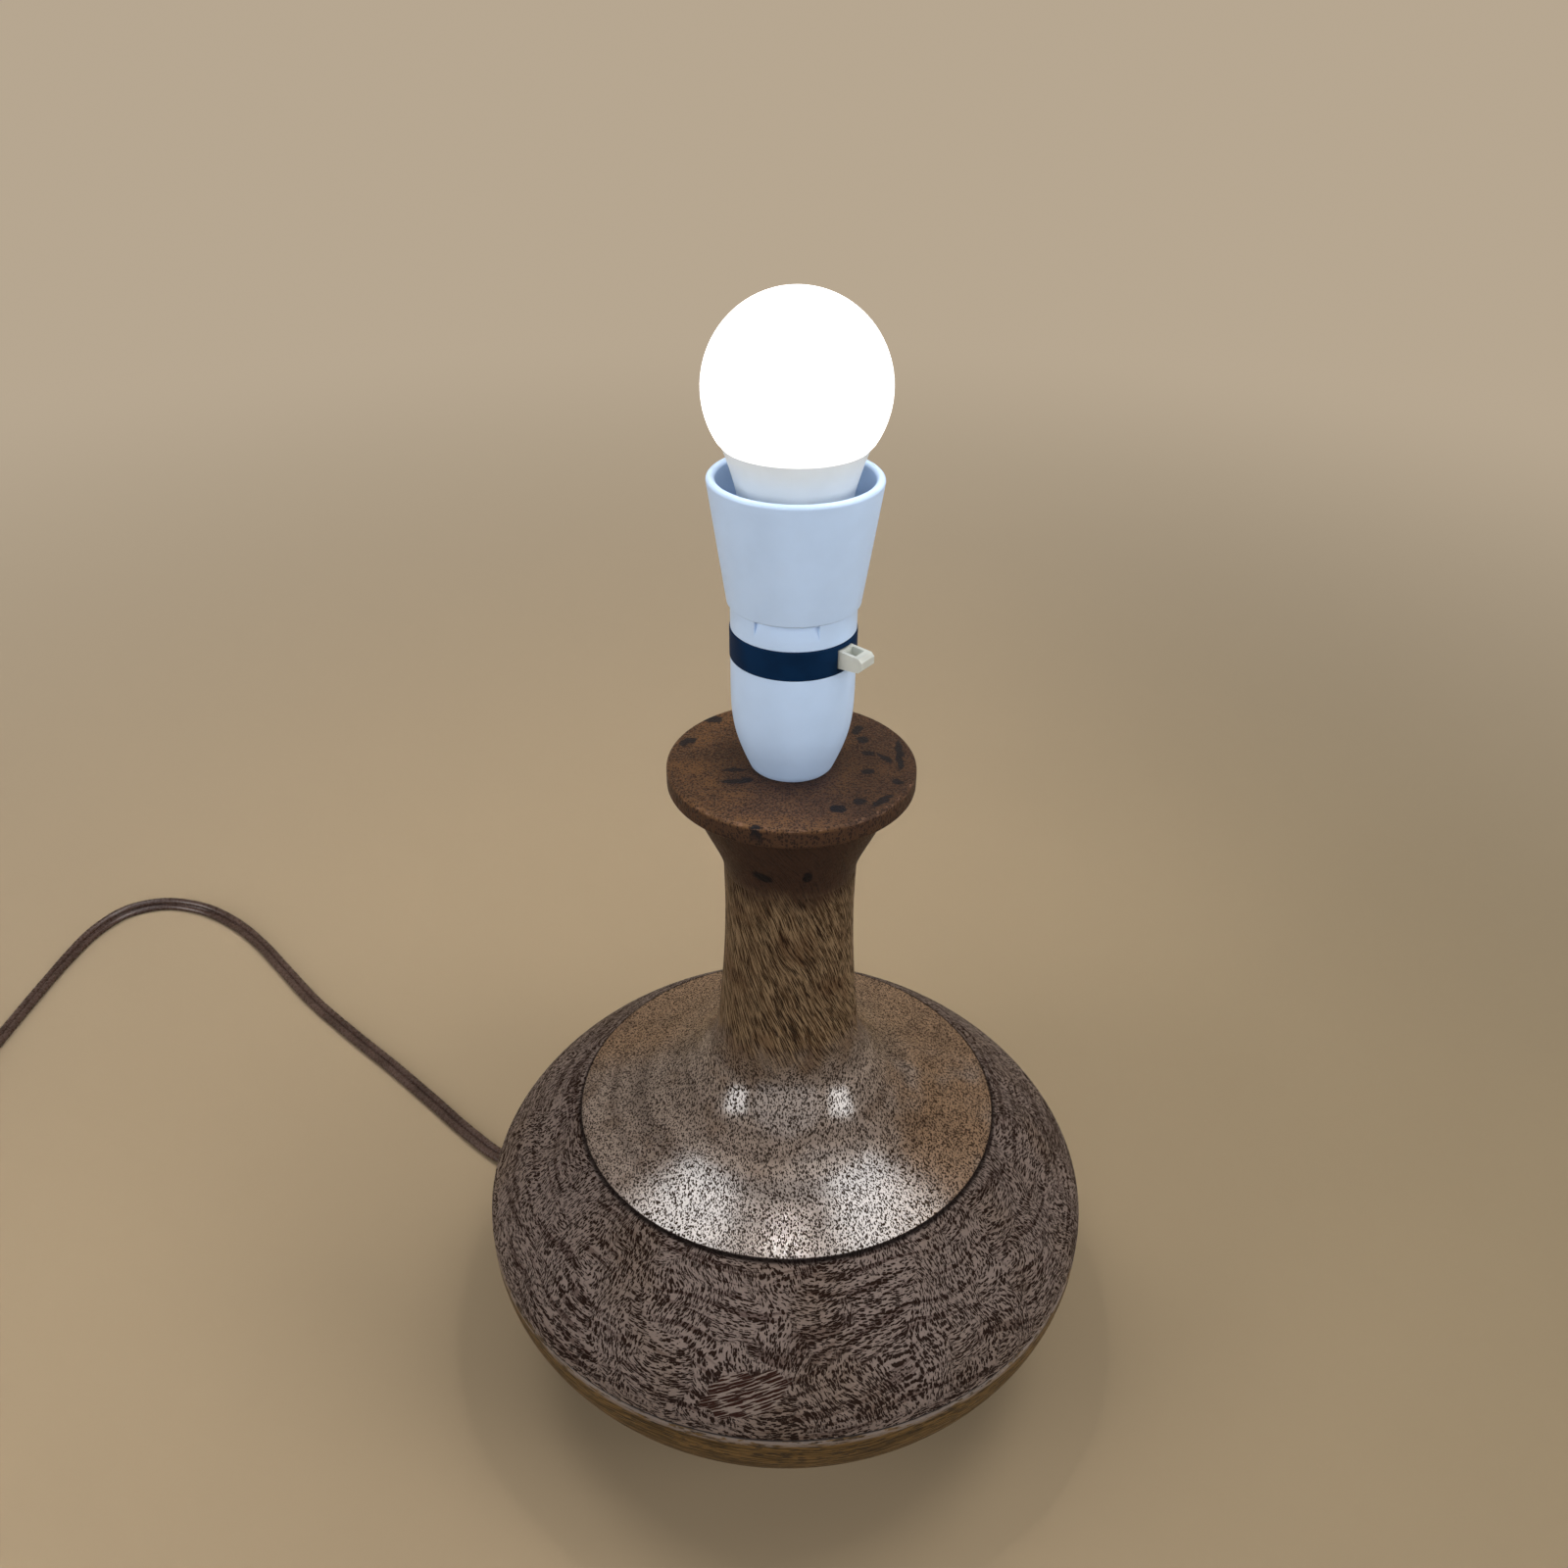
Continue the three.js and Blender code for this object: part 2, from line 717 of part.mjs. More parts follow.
/** Lower shell of the lampholder, open at the top. */
function holderBarrel() {
  const shoulder = discZ + barrelCurveHeight;
  const foot = [barrelFootRadius + barrelFootStep, discZ + barrelFootStep];
  const inner = bend(
    [barrelFootRadius - barrelWall, discZ + barrelFloor],
    [barrelRadius - barrelWall, shoulder],
    barrelCurveShares,
  );
  return ring([
    [capBore, discZ],
    [barrelFootRadius, discZ],
    ...bend(foot, [barrelRadius, shoulder], barrelCurveShares),
    [barrelRadius, bandZ],
    [barrelRadius - barrelWall, bandZ],
    ...inner.reverse(),
    [capBore, discZ + barrelFloor],
  ]);
}

/** Space that a terminal fills, grown by a clearance. */
function terminalSpace(side, room, bottom) {
  const near = terminalOffset - terminalDepth / 2 - room;
  const far = terminalOffset + terminalDepth / 2 + room;
  const [y0, y1] = side > 0 ? [near, far] : [-far, -near];
  const half = terminalWidth / 2 + room;
  return block([-half, y0, bottom], [half, y1, terminalTopZ + room]);
}

/** A round bar along Y, out from the axis on one side, between two distances. */
function sideRod(radius, from, to, side, z) {
  const rod = levelRod(radius, from, to, [0, z]);
  return rod.rotateZ(side * Math.PI / 2);
}

/** Moulded block with the dark band, the bar's way through and the plungers' bores. */
function terminalBlock() {
  const body = turned([
    [0, spigotZ],
    [spigotRadius, spigotZ],
    [spigotRadius, bandZ],
    [bandRadius, bandZ],
    [bandRadius, socketZ],
    [bossRadius, socketZ],
    [bossRadius, bossZ],
    [0, bossZ],
  ]);
  const reach = bandRadius + overrun;
  const shank = block(
    [-reach, -barShankWidth / 2 - gap, shankBottomZ - bridgeThickness - gap],
    [reach, barShankWidth / 2 + gap, shankBottomZ + barShankHeight + gap],
  );
  const pocketInner = bandRadius - barHeadDepth - barTravel - gap;
  const pockets = [-1, 1].map((side) => block(
    [Math.min(side * pocketInner, side * reach), -barHeadWidth / 2 - gap, barZ - barHeadHeight / 2 - gap],
    [Math.max(side * pocketInner, side * reach), barHeadWidth / 2 + gap, barZ + barHeadHeight / 2 + gap],
  ));
  const bores = [-1, 1].flatMap((side) => [
    uprightRod(plungerRadius + gap, terminalTopZ, plungerShoulderZ + gap, [0, side * plungerOffset]),
    uprightRod(plungerTipRadius + gap, plungerShoulderZ, bossZ + overrun, [0, side * plungerOffset]),
    terminalSpace(side, gap, spigotZ - overrun),
    sideRod(terminalScrewHeadRadius + gap, terminalOffset, reach, side, terminalScrewZ),
  ]);
  return cut(body, shank, ...pockets, ...bores);
}

/** Brass terminal with a hole for the wire and one for its screw. */
function terminal(side) {
  const wireHole = uprightRod(
    wireHoleRadius,
    terminalBottomZ - overrun,
    terminalBottomZ + wireHoleDepth,
    [0, side * wireOffset],
  );
  const far = terminalOffset + terminalDepth / 2 + overrun;
  const screwHole = sideRod(terminalScrewRadius + gap, wireOffset, far, side, terminalScrewZ);
  return cut(terminalSpace(side, 0, terminalBottomZ), wireHole, screwHole);
}

/** Slotted screw that grips the wire in its terminal. */
function terminalScrew(side) {
  const face = terminalOffset + terminalDepth / 2;
  const out = face + terminalScrewHeadHeight;
  const shank = sideRod(terminalScrewRadius, face - terminalScrewReach, face + gap, side, terminalScrewZ);
  const head = sideRod(terminalScrewHeadRadius, face, out, side, terminalScrewZ);
  const ends = [side * (out - screwSlotDepth), side * (out + overrun)];
  const slot = block(
    [-terminalScrewHeadRadius - overrun, Math.min(...ends), terminalScrewZ - screwSlotWidth / 2],
    [terminalScrewHeadRadius + overrun, Math.max(...ends), terminalScrewZ + screwSlotWidth / 2],
  );
  return cut(join(shank, head), slot);
}

/** One insulated core from the flex's end up into its terminal. */
function wireCore(side) {
  const bottom = discZ + flexTopRise + gap;
  const top = terminalBottomZ + wireHoleDepth - gap;
  const rise = terminalBottomZ - bottom;
  const shape = new THREE.Shape();
  shape.absarc(0, 0, wireRadius, 0, Math.PI * 2);
  const path = new THREE.CatmullRomCurve3([
    [0, side * wireStartOffset, bottom],
    [0, side * wireStartOffset, bottom + rise / 4],
    [0, side * (wireStartOffset + wireOffset) / 2, bottom + rise / 2],
    [0, side * wireOffset, bottom + rise * wireBendShare],
    [0, side * wireOffset, terminalBottomZ + gap],
    [0, side * wireOffset, top],
  ].map((place) => new THREE.Vector3(...place)));
  const outline = shape.getSpacedPoints(bendSteps).slice(0, bendSteps);
  const section = new THREE.Shape(outline);
  return new THREE.ExtrudeGeometry(section, { steps: wireSteps, bevelEnabled: false, extrudePath: path });
}

/** Brass plunger that presses on a contact of the bulb's cap. */
function plunger(side) {
  return turned([
    [0, plungerBottomZ],
    [plungerRadius, plungerBottomZ],
    [plungerRadius, plungerShoulderZ],
    [plungerTipRadius, plungerShoulderZ],
    ...arc([0, plungerTopZ - plungerTipRadius], plungerTipRadius, 0, 90),
  ], smallSides).translate(0, side * plungerOffset, 0);
}

/** Coiled spring between a terminal and its plunger. */
function plungerSpring(side) {
  const bottom = terminalTopZ + gap + springWireRadius;
  const top = plungerBottomZ - gap - springWireRadius;
  const rings = [];
  for (let step = 0; step <= springCurls * springSteps; step += 1) {
    const turn = (step / springSteps) * Math.PI * 2;
    const z = THREE.MathUtils.lerp(bottom, top, step / (springCurls * springSteps));
    const outward = new THREE.Vector3(Math.cos(turn), Math.sin(turn), 0);
    const centre = outward.clone().multiplyScalar(springRadius);
    centre.add(new THREE.Vector3(0, side * plungerOffset, z));
    rings.push(Array.from({ length: springSides }, (_, index) => {
      const angle = (index / springSides) * Math.PI * 2;
      const lift = new THREE.Vector3(0, 0, Math.sin(angle) * springWireRadius);
      return centre.clone().addScaledVector(outward, Math.cos(angle) * springWireRadius).add(lift);
    }));
  }
  console.log(`plunger spring: least gap to itself ${leastGap(rings, springSteps).toFixed(2)} mm`);
  return tubeOfRings(rings);
}

/** Side view of a bar head from its root to its rounded tip, extruded to its width. */
function barHead(root, tip) {
  const forward = Math.sign(tip - root);
  const start = root + forward * barTipRound;
  const outline = [
    [root, -barHeadHeight / 2],
    [start, -barHeadHeight / 2],
    ...[
      [tip - forward * barTipRound, -barTipHeight / 2],
      [tip, -barTipHeight / 2 + barTipRound],
      [tip, barTipHeight / 2 - barTipRound],
      [tip - forward * barTipRound, barTipHeight / 2],
    ],
    [start, barHeadHeight / 2],
    [root, barHeadHeight / 2],
  ];
  const head = slab(outline, -barHeadWidth / 2, barHeadWidth / 2);
  return head.rotateX(Math.PI / 2).translate(0, 0, barZ);
}

/** Push bar: a slim shank with a head at each end, the near one with a pocket on top. */
function switchBar() {
  const near = bandRadius - barHeadDepth;
  const tip = bandRadius + barReach;
  const far = -bandRadius + barFarHeadDepth;
  const farTip = -bandRadius - barFarReach;
  const shank = block(
    [far - gap, -barShankWidth / 2, shankBottomZ],
    [near + gap, barShankWidth / 2, shankBottomZ + barShankHeight],
  );
  const pocket = block(
    [bandRadius + barPocketStart, barPocketWall - barHeadWidth / 2, barZ - barTipHeight / 2 + barPocketFloor],
    [tip - barPocketEnd, barHeadWidth / 2 - barPocketWall, barZ + barHeadHeight],
  );
  return cut(join(shank, barHead(near, tip), barHead(far, farTip)), pocket);
}

/** Brass bridge under the shank that makes and breaks the circuit. */
function switchContact() {
  return block(
    [-bridgeLength / 2, -bridgeWidth / 2, shankBottomZ - bridgeThickness],
    [bridgeLength / 2, bridgeWidth / 2, shankBottomZ],
  );
}

/** A shallow ramp cut into the collar, deepest at the ledge. */
function collarNotch(azimuth) {
  const ramp = ring([
    [collarRadius - notchDepth, ledgeZ + overrun],
    [collarRadius - notchDepth, ledgeZ],
    [collarRadius, ledgeZ - notchHeight],
    [collarRadius + overrun, ledgeZ - notchHeight],
    [collarRadius + overrun, ledgeZ + overrun],
  ]);
  const from = azimuth - notchHalfAngle;
  const to = azimuth + notchHalfAngle;
  const wedge = sector(sleeveBore, collarRadius + overrun * 2, from, to, socketZ, ledgeZ + overrun * 2);
  return common(ramp, wedge);
}

/** Bayonet socket: collar, threaded sleeve and its two hooked slots. */
function socketSleeve() {
  const top = socketZ + sleeveHeight;
  const body = ring([
    [sleeveBore, socketZ],
    [collarRadius, socketZ],
    [collarRadius, ledgeZ],
    [sleeveRadius, ledgeZ],
    [sleeveRadius, top],
    [sleeveBore, top],
  ]);
  const room = pinRadius + gap;
  const spread = THREE.MathUtils.radToDeg(Math.asin(room / sleeveBore));
  const [inner, outer] = [sleeveBore - overrun, sleeveRadius + overrun];
  const slots = [0, 180].flatMap((turn) => [
    sector(inner, outer, turn - spread, turn + bulbTwist + spread, pinZ - room, pinZ + room),
    sector(inner, outer, turn + bulbTwist - spread, turn + bulbTwist + spread, pinZ, top + overrun),
  ]);
  const notchTurn = notchAzimuth - holderAzimuth;
  const notches = [notchTurn, notchTurn + 180].map(collarNotch);
  return cut(body, ...slots, ...notches);
}

/** Tapered skirt with a rounded rim and an inner thread ring at its foot. */
function heatSkirt() {
  const top = skirtZ + skirtHeight;
  const bead = skirtRimThickness / 2;
  const beadZ = top - bead;
  const beadCentre = skirtRimRadius - bead;
  const slope = (skirtRimRadius - skirtFootRadius) / (beadZ - skirtZ);
  const wallInner = (z) => skirtFootRadius + slope * (z - skirtZ) - skirtWall;
  const threadTop = skirtZ + skirtThreadHeight;
  return ring([
    [sleeveRadius + gap, skirtZ],
    [skirtFootRadius, skirtZ],
    ...arc([beadCentre, beadZ], bead, 0, 180, bendSteps),
    [wallInner(beadZ - skirtLipHeight), beadZ - skirtLipHeight],
    [wallInner(threadTop), threadTop + skirtWall],
    [sleeveRadius + gap, threadTop],
  ]);
}

/** Metal cap of the bulb, with a hole for each bayonet pin. */
function bulbCap() {
  const bottom = bulbBottomZ + gap;
  const tube = ring([
    [capRadius - capWall, bottom],
    [capRadius, bottom],
    [capRadius, housingZ],
    [capRadius - capWall, housingZ],
  ], bulbSides);
  return cut(tube, levelRod(pinRadius + gap, -pinOuter, pinOuter, [0, pinZ]));
}

/** One bayonet pin. */
function bulbPin(side) {
  const ends = [side * pinInner, side * pinOuter];
  return levelRod(pinRadius, Math.min(...ends), Math.max(...ends), [0, pinZ]);
}

/** Glassy insulator that closes the cap. */
function capInsulator() {
  const radius = capRadius - capWall - gap;
  return uprightRod(radius, bulbBottomZ, bulbBottomZ + insulatorHeight, [0, 0], bulbSides);
}

/** Soldered contact under the insulator. */
function capContact(side) {
  const bottom = bulbBottomZ - contactPadHeight;
  return uprightRod(contactPadRadius, bottom, bulbBottomZ, [0, side * plungerOffset]);
}

/** White housing between cap and diffuser, with a ledge inside for the light board. */
function bulbHousing() {
  const waist = [housingWaistRadius, housingZ + housingWaistRise];
  const inside = capRadius - capWall - gap - housingWall;
  const ledge = diffuserZ - ledgeDrop;
  const rimInside = housingRimRadius - housingWall;
  return ring([
    [inside, housingZ - housingSpigotDepth],
    [inside + housingWall, housingZ - housingSpigotDepth],
    [inside + housingWall, housingZ],
    [housingFootRadius, housingZ],
    waist,
    [housingRimRadius, diffuserZ],
    [rimInside, diffuserZ],
    [rimInside, ledge],
    [rimInside - ledgeWidth, ledge],
    [housingWaistRadius - housingWall, waist[1]],
    [inside, housingZ + housingWall],
  ], bulbSides);
}

/** Round aluminium board with a ring of light chips. */
function ledBoard() {
  const bottom = diffuserZ - ledgeDrop;
  const top = bottom + boardThickness;
  const radius = housingRimRadius - housingWall - gap;
  const board = uprightRod(radius, bottom, top, [0, 0], holderSides);
  const chips = Array.from({ length: chipCount }, (_, index) => block(
    [chipRing - chipSize / 2, -chipSize / 2, top - boardThickness / 2],
    [chipRing + chipSize / 2, chipSize / 2, top + chipHeight],
  ).rotateZ((index / chipCount) * Math.PI * 2));
  return join(board, ...chips);
}

/** Upright driver board with its capacitor and inductor. */
function driverBoard() {
  const bottom = bulbBottomZ + insulatorHeight;
  const top = diffuserZ - ledgeDrop - gap;
  const face = driverThickness / 2;
  const board = block([-driverWidth / 2, -face, bottom], [driverWidth / 2, face, top]);
  const capacitor = uprightRod(capacitorRadius, housingZ, housingZ + capacitorLength, [0, capacitorRadius]);
  const inductor = block(
    [-inductorSize / 2, -inductorSize, bottom + inductorSize],
    [inductorSize / 2, 0, bottom + inductorSize * 2],
  );
  return join(board, capacitor, inductor);
}

/** Opal diffuser, a thin round shell open at the bottom. */
function bulbDiffuser() {
  const centre = [0, bulbCentreZ];
  const lipZ = diffuserZ + diffuserLipRise;
  const drop = bulbCentreZ - lipZ;
  const start = -THREE.MathUtils.radToDeg(Math.asin(drop / bulbRadius));
  const innerRadius = bulbRadius - diffuserWall;
  const innerStart = -THREE.MathUtils.radToDeg(Math.asin(drop / innerRadius));
  return turned([
    ...arc(centre, innerRadius, 90, innerStart, domeSteps),
    [housingRimRadius - diffuserWall, diffuserZ],
    [housingRimRadius, diffuserZ],
    ...arc(centre, bulbRadius, start, 90, domeSteps),
  ], bulbSides);
}

/** The free flex from the bush to the coil. */
function freeFlex() {
  const out = (distance) => [
    distance * Math.cos(cordTurn),
    distance * Math.sin(cordTurn),
    cordHoleHeight,
  ];
  const start = bushTipDistance + gap;
  return flexAlong(levelPath([out(start), ...freeRoute]), freeSteps);
}

/** Where the coil begins: just past the end of the free route, heading towards -Y. */
function coilStart() {
  const [x, y] = freeRoute.at(-1);
  return new THREE.Vector3(x, y - gap - flexWidth, tieThickness + gap + flexThickness / 2);
}

/** Centre line of the coil: in on the table, a climb, and out again on top. */
function coilPlace(turns) {
  const outer = coilMeanRadius + (coilPitch * coilTurns) / 4;
  const start = coilStart();
  const fromMiddle = turns - coilTurns / 2;
  const radius = outer - coilPitch * (coilTurns / 2 - Math.abs(fromMiddle));
  const climb = THREE.MathUtils.smoothstep(fromMiddle, -coilClimbTurns, coilClimbTurns);
  const angle = -turns * Math.PI * 2;
  return new THREE.Vector3(
    start.x - outer + radius * Math.cos(angle),
    start.y + radius * Math.sin(angle),
    start.z + coilLayerPitch * climb,
  );
}

/** One ring of the coil's level section, square to its heading. */
function coilRing(place, heading) {
  const side = new THREE.Vector3(heading.y, -heading.x, 0).normalize();
  const up = new THREE.Vector3(0, 0, 1);
  return coilSectionShares.map(([high, wide]) => place.clone()
    .addScaledVector(up, high * flexThickness / 2)
    .addScaledVector(side, wide * flexWidth / 2));
}

/** The stored coil as one unbroken tube, with a straight end at each side. */
function flexCoil() {
  const along = new THREE.Vector3(0, -1, 0);
  const steps = coilTurns * coilStepsPerTurn;
  const rings = [coilRing(coilPlace(0).addScaledVector(along, -flexWidth), along)];
  for (let step = 0; step <= steps; step += 1) {
    const turns = step / coilStepsPerTurn;
    const angle = -turns * Math.PI * 2;
    const heading = new THREE.Vector3(Math.sin(angle), -Math.cos(angle), 0);
    rings.push(coilRing(coilPlace(turns), heading));
  }
  rings.push(coilRing(coilPlace(coilTurns).addScaledVector(along, flexWidth), along));
  console.log(`flex coil: least gap to itself ${leastGap(rings, coilStepsPerTurn).toFixed(2)} mm`);
  return tubeOfRings(rings);
}

/** Flat strap closed round the coil's turns, on the side away from its ends. */
function coilTie() {
  const spread = (coilPitch * coilTurns) / 4;
  const near = coilMeanRadius - spread - flexWidth / 2 - gap;
  const far = coilMeanRadius + spread + flexWidth / 2 + gap;
  const top = tieThickness + flexThickness + coilLayerPitch + gap * 2;
  const half = tieWidth / 2;
  const strap = block([near - tieThickness, -half, 0], [far + tieThickness, half, top + tieThickness]);
  const inside = block([near, -half - overrun, tieThickness], [far, half + overrun, top]);
  const start = coilStart();
  const centre = start.x - coilMeanRadius - spread;
  return cut(strap, inside).rotateZ(Math.PI).translate(centre, start.y, 0);
}

/** The short flex from the coil into the plug. */
function flexTail() {
  const start = coilPlace(coilTurns);
  const inside = plugEntryX - tailInside;
  const level = coverHeight + plugFlexRise;
  const first = [start.x, start.y - flexWidth - gap, start.z];
  const last = [[plugEntryX, plugEntryY, level], [inside, plugEntryY, level]];
  return flexAlong(levelPath([first, ...tailRoute, ...last]), tailSteps);
}

/** Plan outline of the plug, drawn in by an inset. */
function plugOutline(inset) {
  const half = plugHalfWidth - inset;
  const mouth = plugMouthHalfWidth - inset;
  const right = [
    [mouth, plugBottomY + inset],
    [half, plugSlopeY],
    [half, plugTopY - plugCorner],
    [half - plugCorner + inset / 2, plugTopY - inset],
  ];
  return [...right, ...right.map(([x, y]) => [-x, y]).reverse()];
}

/** The slot in the plug's wall that the flex comes in by. */
function plugMouth() {
  const half = flexWidth / 2 + gap;
  const top = coverHeight + plugFlexRise + flexThickness / 2 + gap;
  return block([-half, plugBottomY - overrun, coverHeight - overrun], [half, gripY, top]);
}

/** Back cover of the plug, with its screw post and the ribs under the fuse. */
function plugCover() {
  const shell = cut(
    slab(plugOutline(0), 0, coverHeight),
    slab(plugOutline(plugWall), plugWall, coverHeight + overrun),
  );
  const post = uprightRod(postRadius, plugWall / 2, coverHeight, [0, coverScrewY]);
  const ribTop = plugWall + fuseSeatRise;
  const ribs = [-fuseRibSpread, fuseRibSpread].map((y) => block(
    [fuseX - fuseRadius, fuseY + y - fuseRibThickness / 2, plugWall / 2],
    [fuseX + fuseRadius, fuseY + y + fuseRibThickness / 2, ribTop],
  ));
  const screwRoom = uprightRod(
    coverScrewRadius + gap,
    plugWall + coverScrewEndRise - gap,
    coverHeight + overrun,
    [0, coverScrewY],
  );
  return cut(join(shell, post, ...ribs), screwRoom);
}

/** Space of one plug pin through the face, grown by a clearance. */
function pinBlock([x, y], [width, depth], room, bottom, top) {
  const halves = [width / 2 + room, depth / 2 + room];
  return block([x - halves[0], y - halves[1], bottom], [x + halves[0], y + halves[1], top]);
}

const plugPins = [
  { name: 'plug_pin_live', at: [-pinSpread, linePinY], size: [linePinWidth, pinDepth], out: linePinLength },
  { name: 'plug_pin_neutral', at: [pinSpread, linePinY], size: [linePinWidth, pinDepth], out: linePinLength },
  { name: 'plug_pin_earth', at: [0, earthPinY], size: [pinDepth, earthPinDepth], out: earthPinLength },
];

/** Pin side of the plug, a shell with the anvil of the cord grip. */
function plugBase() {
  const face = coverHeight + plugBaseHeight;
  const inside = face - plugFaceWall;
  const shell = cut(
    slab(plugOutline(0), coverHeight, face),
    slab(plugOutline(plugWall), coverHeight - overrun, inside),
  );
  const anvilBottom = coverHeight + plugFlexRise + flexThickness / 2 + gap;
  const anvil = block(
    [-gripLength / 2, gripY - gripWidth / 2, anvilBottom],
    [gripLength / 2, gripY + gripWidth / 2, inside + plugFaceWall / 2],
  );
  const post = uprightRod(postRadius, coverHeight, inside + plugFaceWall / 2, [0, coverScrewY]);
  const pinWays = plugPins.map((pin) => pinBlock(pin.at, pin.size, gap, inside - overrun, face + overrun));
  const at = [0, coverScrewY];
  const screwWays = [
    uprightRod(coverScrewRadius + gap, coverHeight - overrun, face, at),
    uprightRod(coverScrewHeadRadius + gap, face - coverScrewHeadHeight, face + overrun, at),
  ];
  const gripWays = [-gripScrewSpread, gripScrewSpread].map((x) => uprightRod(
    gripScrewRadius + gap,
    anvilBottom - overrun,
    anvilBottom + gripScrewBite + gap,
    [x, gripY],
  ));
  return cut(join(shell, anvil, post), plugMouth(), ...pinWays, ...screwWays, ...gripWays);
}

/** One flat pin with the flange and tail that hold it inside the plug. */
function plugPin({ at, size, out }) {
  const face = coverHeight + plugBaseHeight;
  const under = face - plugFaceWall;
  const pin = pinBlock(at, size, 0, under - pinTailLength, face + out);
  const flange = pinBlock(at, size, pinFlange, under - pinFlangeHeight, under);
  return join(pin, flange);
}

/** Cartridge fuse on its two ribs. */
function plugFuse() {
  const axisZ = plugWall + fuseSeatRise + fuseRadius;
  const rod = levelRod(fuseRadius, -fuseLength / 2, fuseLength / 2, [0, 0]);
  return rod.rotateZ(Math.PI / 2).translate(fuseX, fuseY, axisZ);
}

/** Countersunk screw that holds the plug's two halves together. */
function coverScrew() {
  const face = coverHeight + plugBaseHeight;
  const headBottom = face - coverScrewHeadHeight;
  const end = plugWall + coverScrewEndRise;
  const screw = turned([
    [0, end],
    [coverScrewRadius, end],
    [coverScrewRadius, headBottom],
    [coverScrewHeadRadius, headBottom],
    [coverScrewHeadRadius, face - gap],
    [0, face - gap],
  ], smallSides).translate(0, coverScrewY, 0);
  const reach = coverScrewHeadRadius + overrun;
  const slot = block(
    [-reach, coverScrewY - screwSlotWidth / 2, face - gap - screwSlotDepth],
    [reach, coverScrewY + screwSlotWidth / 2, face + overrun],
  );
  return cut(screw, slot);
}

/** Bar that presses the flex up against the anvil. */
function cordGrip() {
  const top = coverHeight + plugFlexRise - flexThickness / 2 - gap;
  const bar = block(
    [-gripLength / 2, gripY - gripWidth / 2, top - gripThickness],
    [gripLength / 2, gripY + gripWidth / 2, top],
  );
  const holes = [-gripScrewSpread, gripScrewSpread].map((x) => uprightRod(
    gripScrewRadius + gap,
    top - gripThickness - overrun,
    top + overrun,
    [x, gripY],
  ));
  return cut(bar, ...holes);
}

/** One screw of the cord grip, its head under the bar. */
function gripScrew(side) {
  const barBottom = coverHeight + plugFlexRise - flexThickness / 2 - gap - gripThickness;
  const anvilBottom = coverHeight + plugFlexRise + flexThickness / 2 + gap;
  return turned([
    [0, barBottom - gripScrewHeadHeight],
    [gripScrewHeadRadius, barBottom - gripScrewHeadHeight],
    [gripScrewHeadRadius, barBottom],
    [gripScrewRadius, barBottom],
    [gripScrewRadius, anvilBottom + gripScrewBite],
    [0, anvilBottom + gripScrewBite],
  ], smallSides).translate(side * gripScrewSpread, gripY, 0);
}

/** A named mesh with a finish of its own. */
function piece(name, geometry, color, roughness, metalness = 0) {
  const material = new THREE.MeshStandardMaterial({ color, roughness, metalness });
  const mesh = new THREE.Mesh(geometry, material);
  mesh.name = name;
  return mesh;
}

const brass = [0xb8923f, 0.35, 1];
const steel = [0xb9bcc0, 0.35, 1];
const flexBrown = [0x3a2620, 0.4];
const holderWhite = [0xdfe5ee, 0.35];
const plugBlack = [0x1d1d1f, 0.45];

const body = new THREE.Group();
body.add(
  piece('felt_pad', feltPad(), 0x35452f, 0.95),
  piece('base_bowl', baseBowl(), 0x86693c, 0.45),
  piece('belly', belly(), 0x6e5f58, 0.6),
  piece('neck_and_shoulder', neckAndShoulder(), 0x7a6243, 0.4),
  piece('top_cap', topCap(), 0x6e462d, 0.45),
  piece('cord_bush', cordBush(), 0x2c211c, 0.7),
  piece('cord_clamp', cordClamp(), 0xd8d8d2, 0.5),
  piece('clamp_screw_left', clampScrew(-1), ...steel),
  piece('clamp_screw_right', clampScrew(1), ...steel),
  piece('flex_internal', innerFlex(), ...flexBrown),
  piece('entry_nipple', entryNipple(), ...brass),
  piece('lock_nut', lockNut(), ...brass),
  piece('holder_barrel', holderBarrel(), ...holderWhite),
);

const holder = new THREE.Group();
holder.rotation.z = holderTurn;
holder.add(
  piece('terminal_block', terminalBlock(), 0x0b1e30, 0.35),
  piece('wire_core_live', wireCore(1), 0x7a4a2c, 0.5),
  piece('wire_core_neutral', wireCore(-1), 0x2f5fa8, 0.5),
  piece('terminal_live', terminal(1), ...brass),
  piece('terminal_neutral', terminal(-1), ...brass),
  piece('terminal_screw_live', terminalScrew(1), ...brass),
  piece('terminal_screw_neutral', terminalScrew(-1), ...brass),
  piece('plunger_live', plunger(1), ...brass),
  piece('plunger_neutral', plunger(-1), ...brass),
  piece('plunger_spring_live', plungerSpring(1), ...steel),
  piece('plunger_spring_neutral', plungerSpring(-1), ...steel),
  piece('switch_bar', switchBar(), 0xc0c3bb, 0.4),
  piece('switch_contact', switchContact(), ...brass),
  piece('socket_sleeve', socketSleeve(), ...holderWhite),
);

const skirt = piece('heat_skirt', heatSkirt(), ...holderWhite);

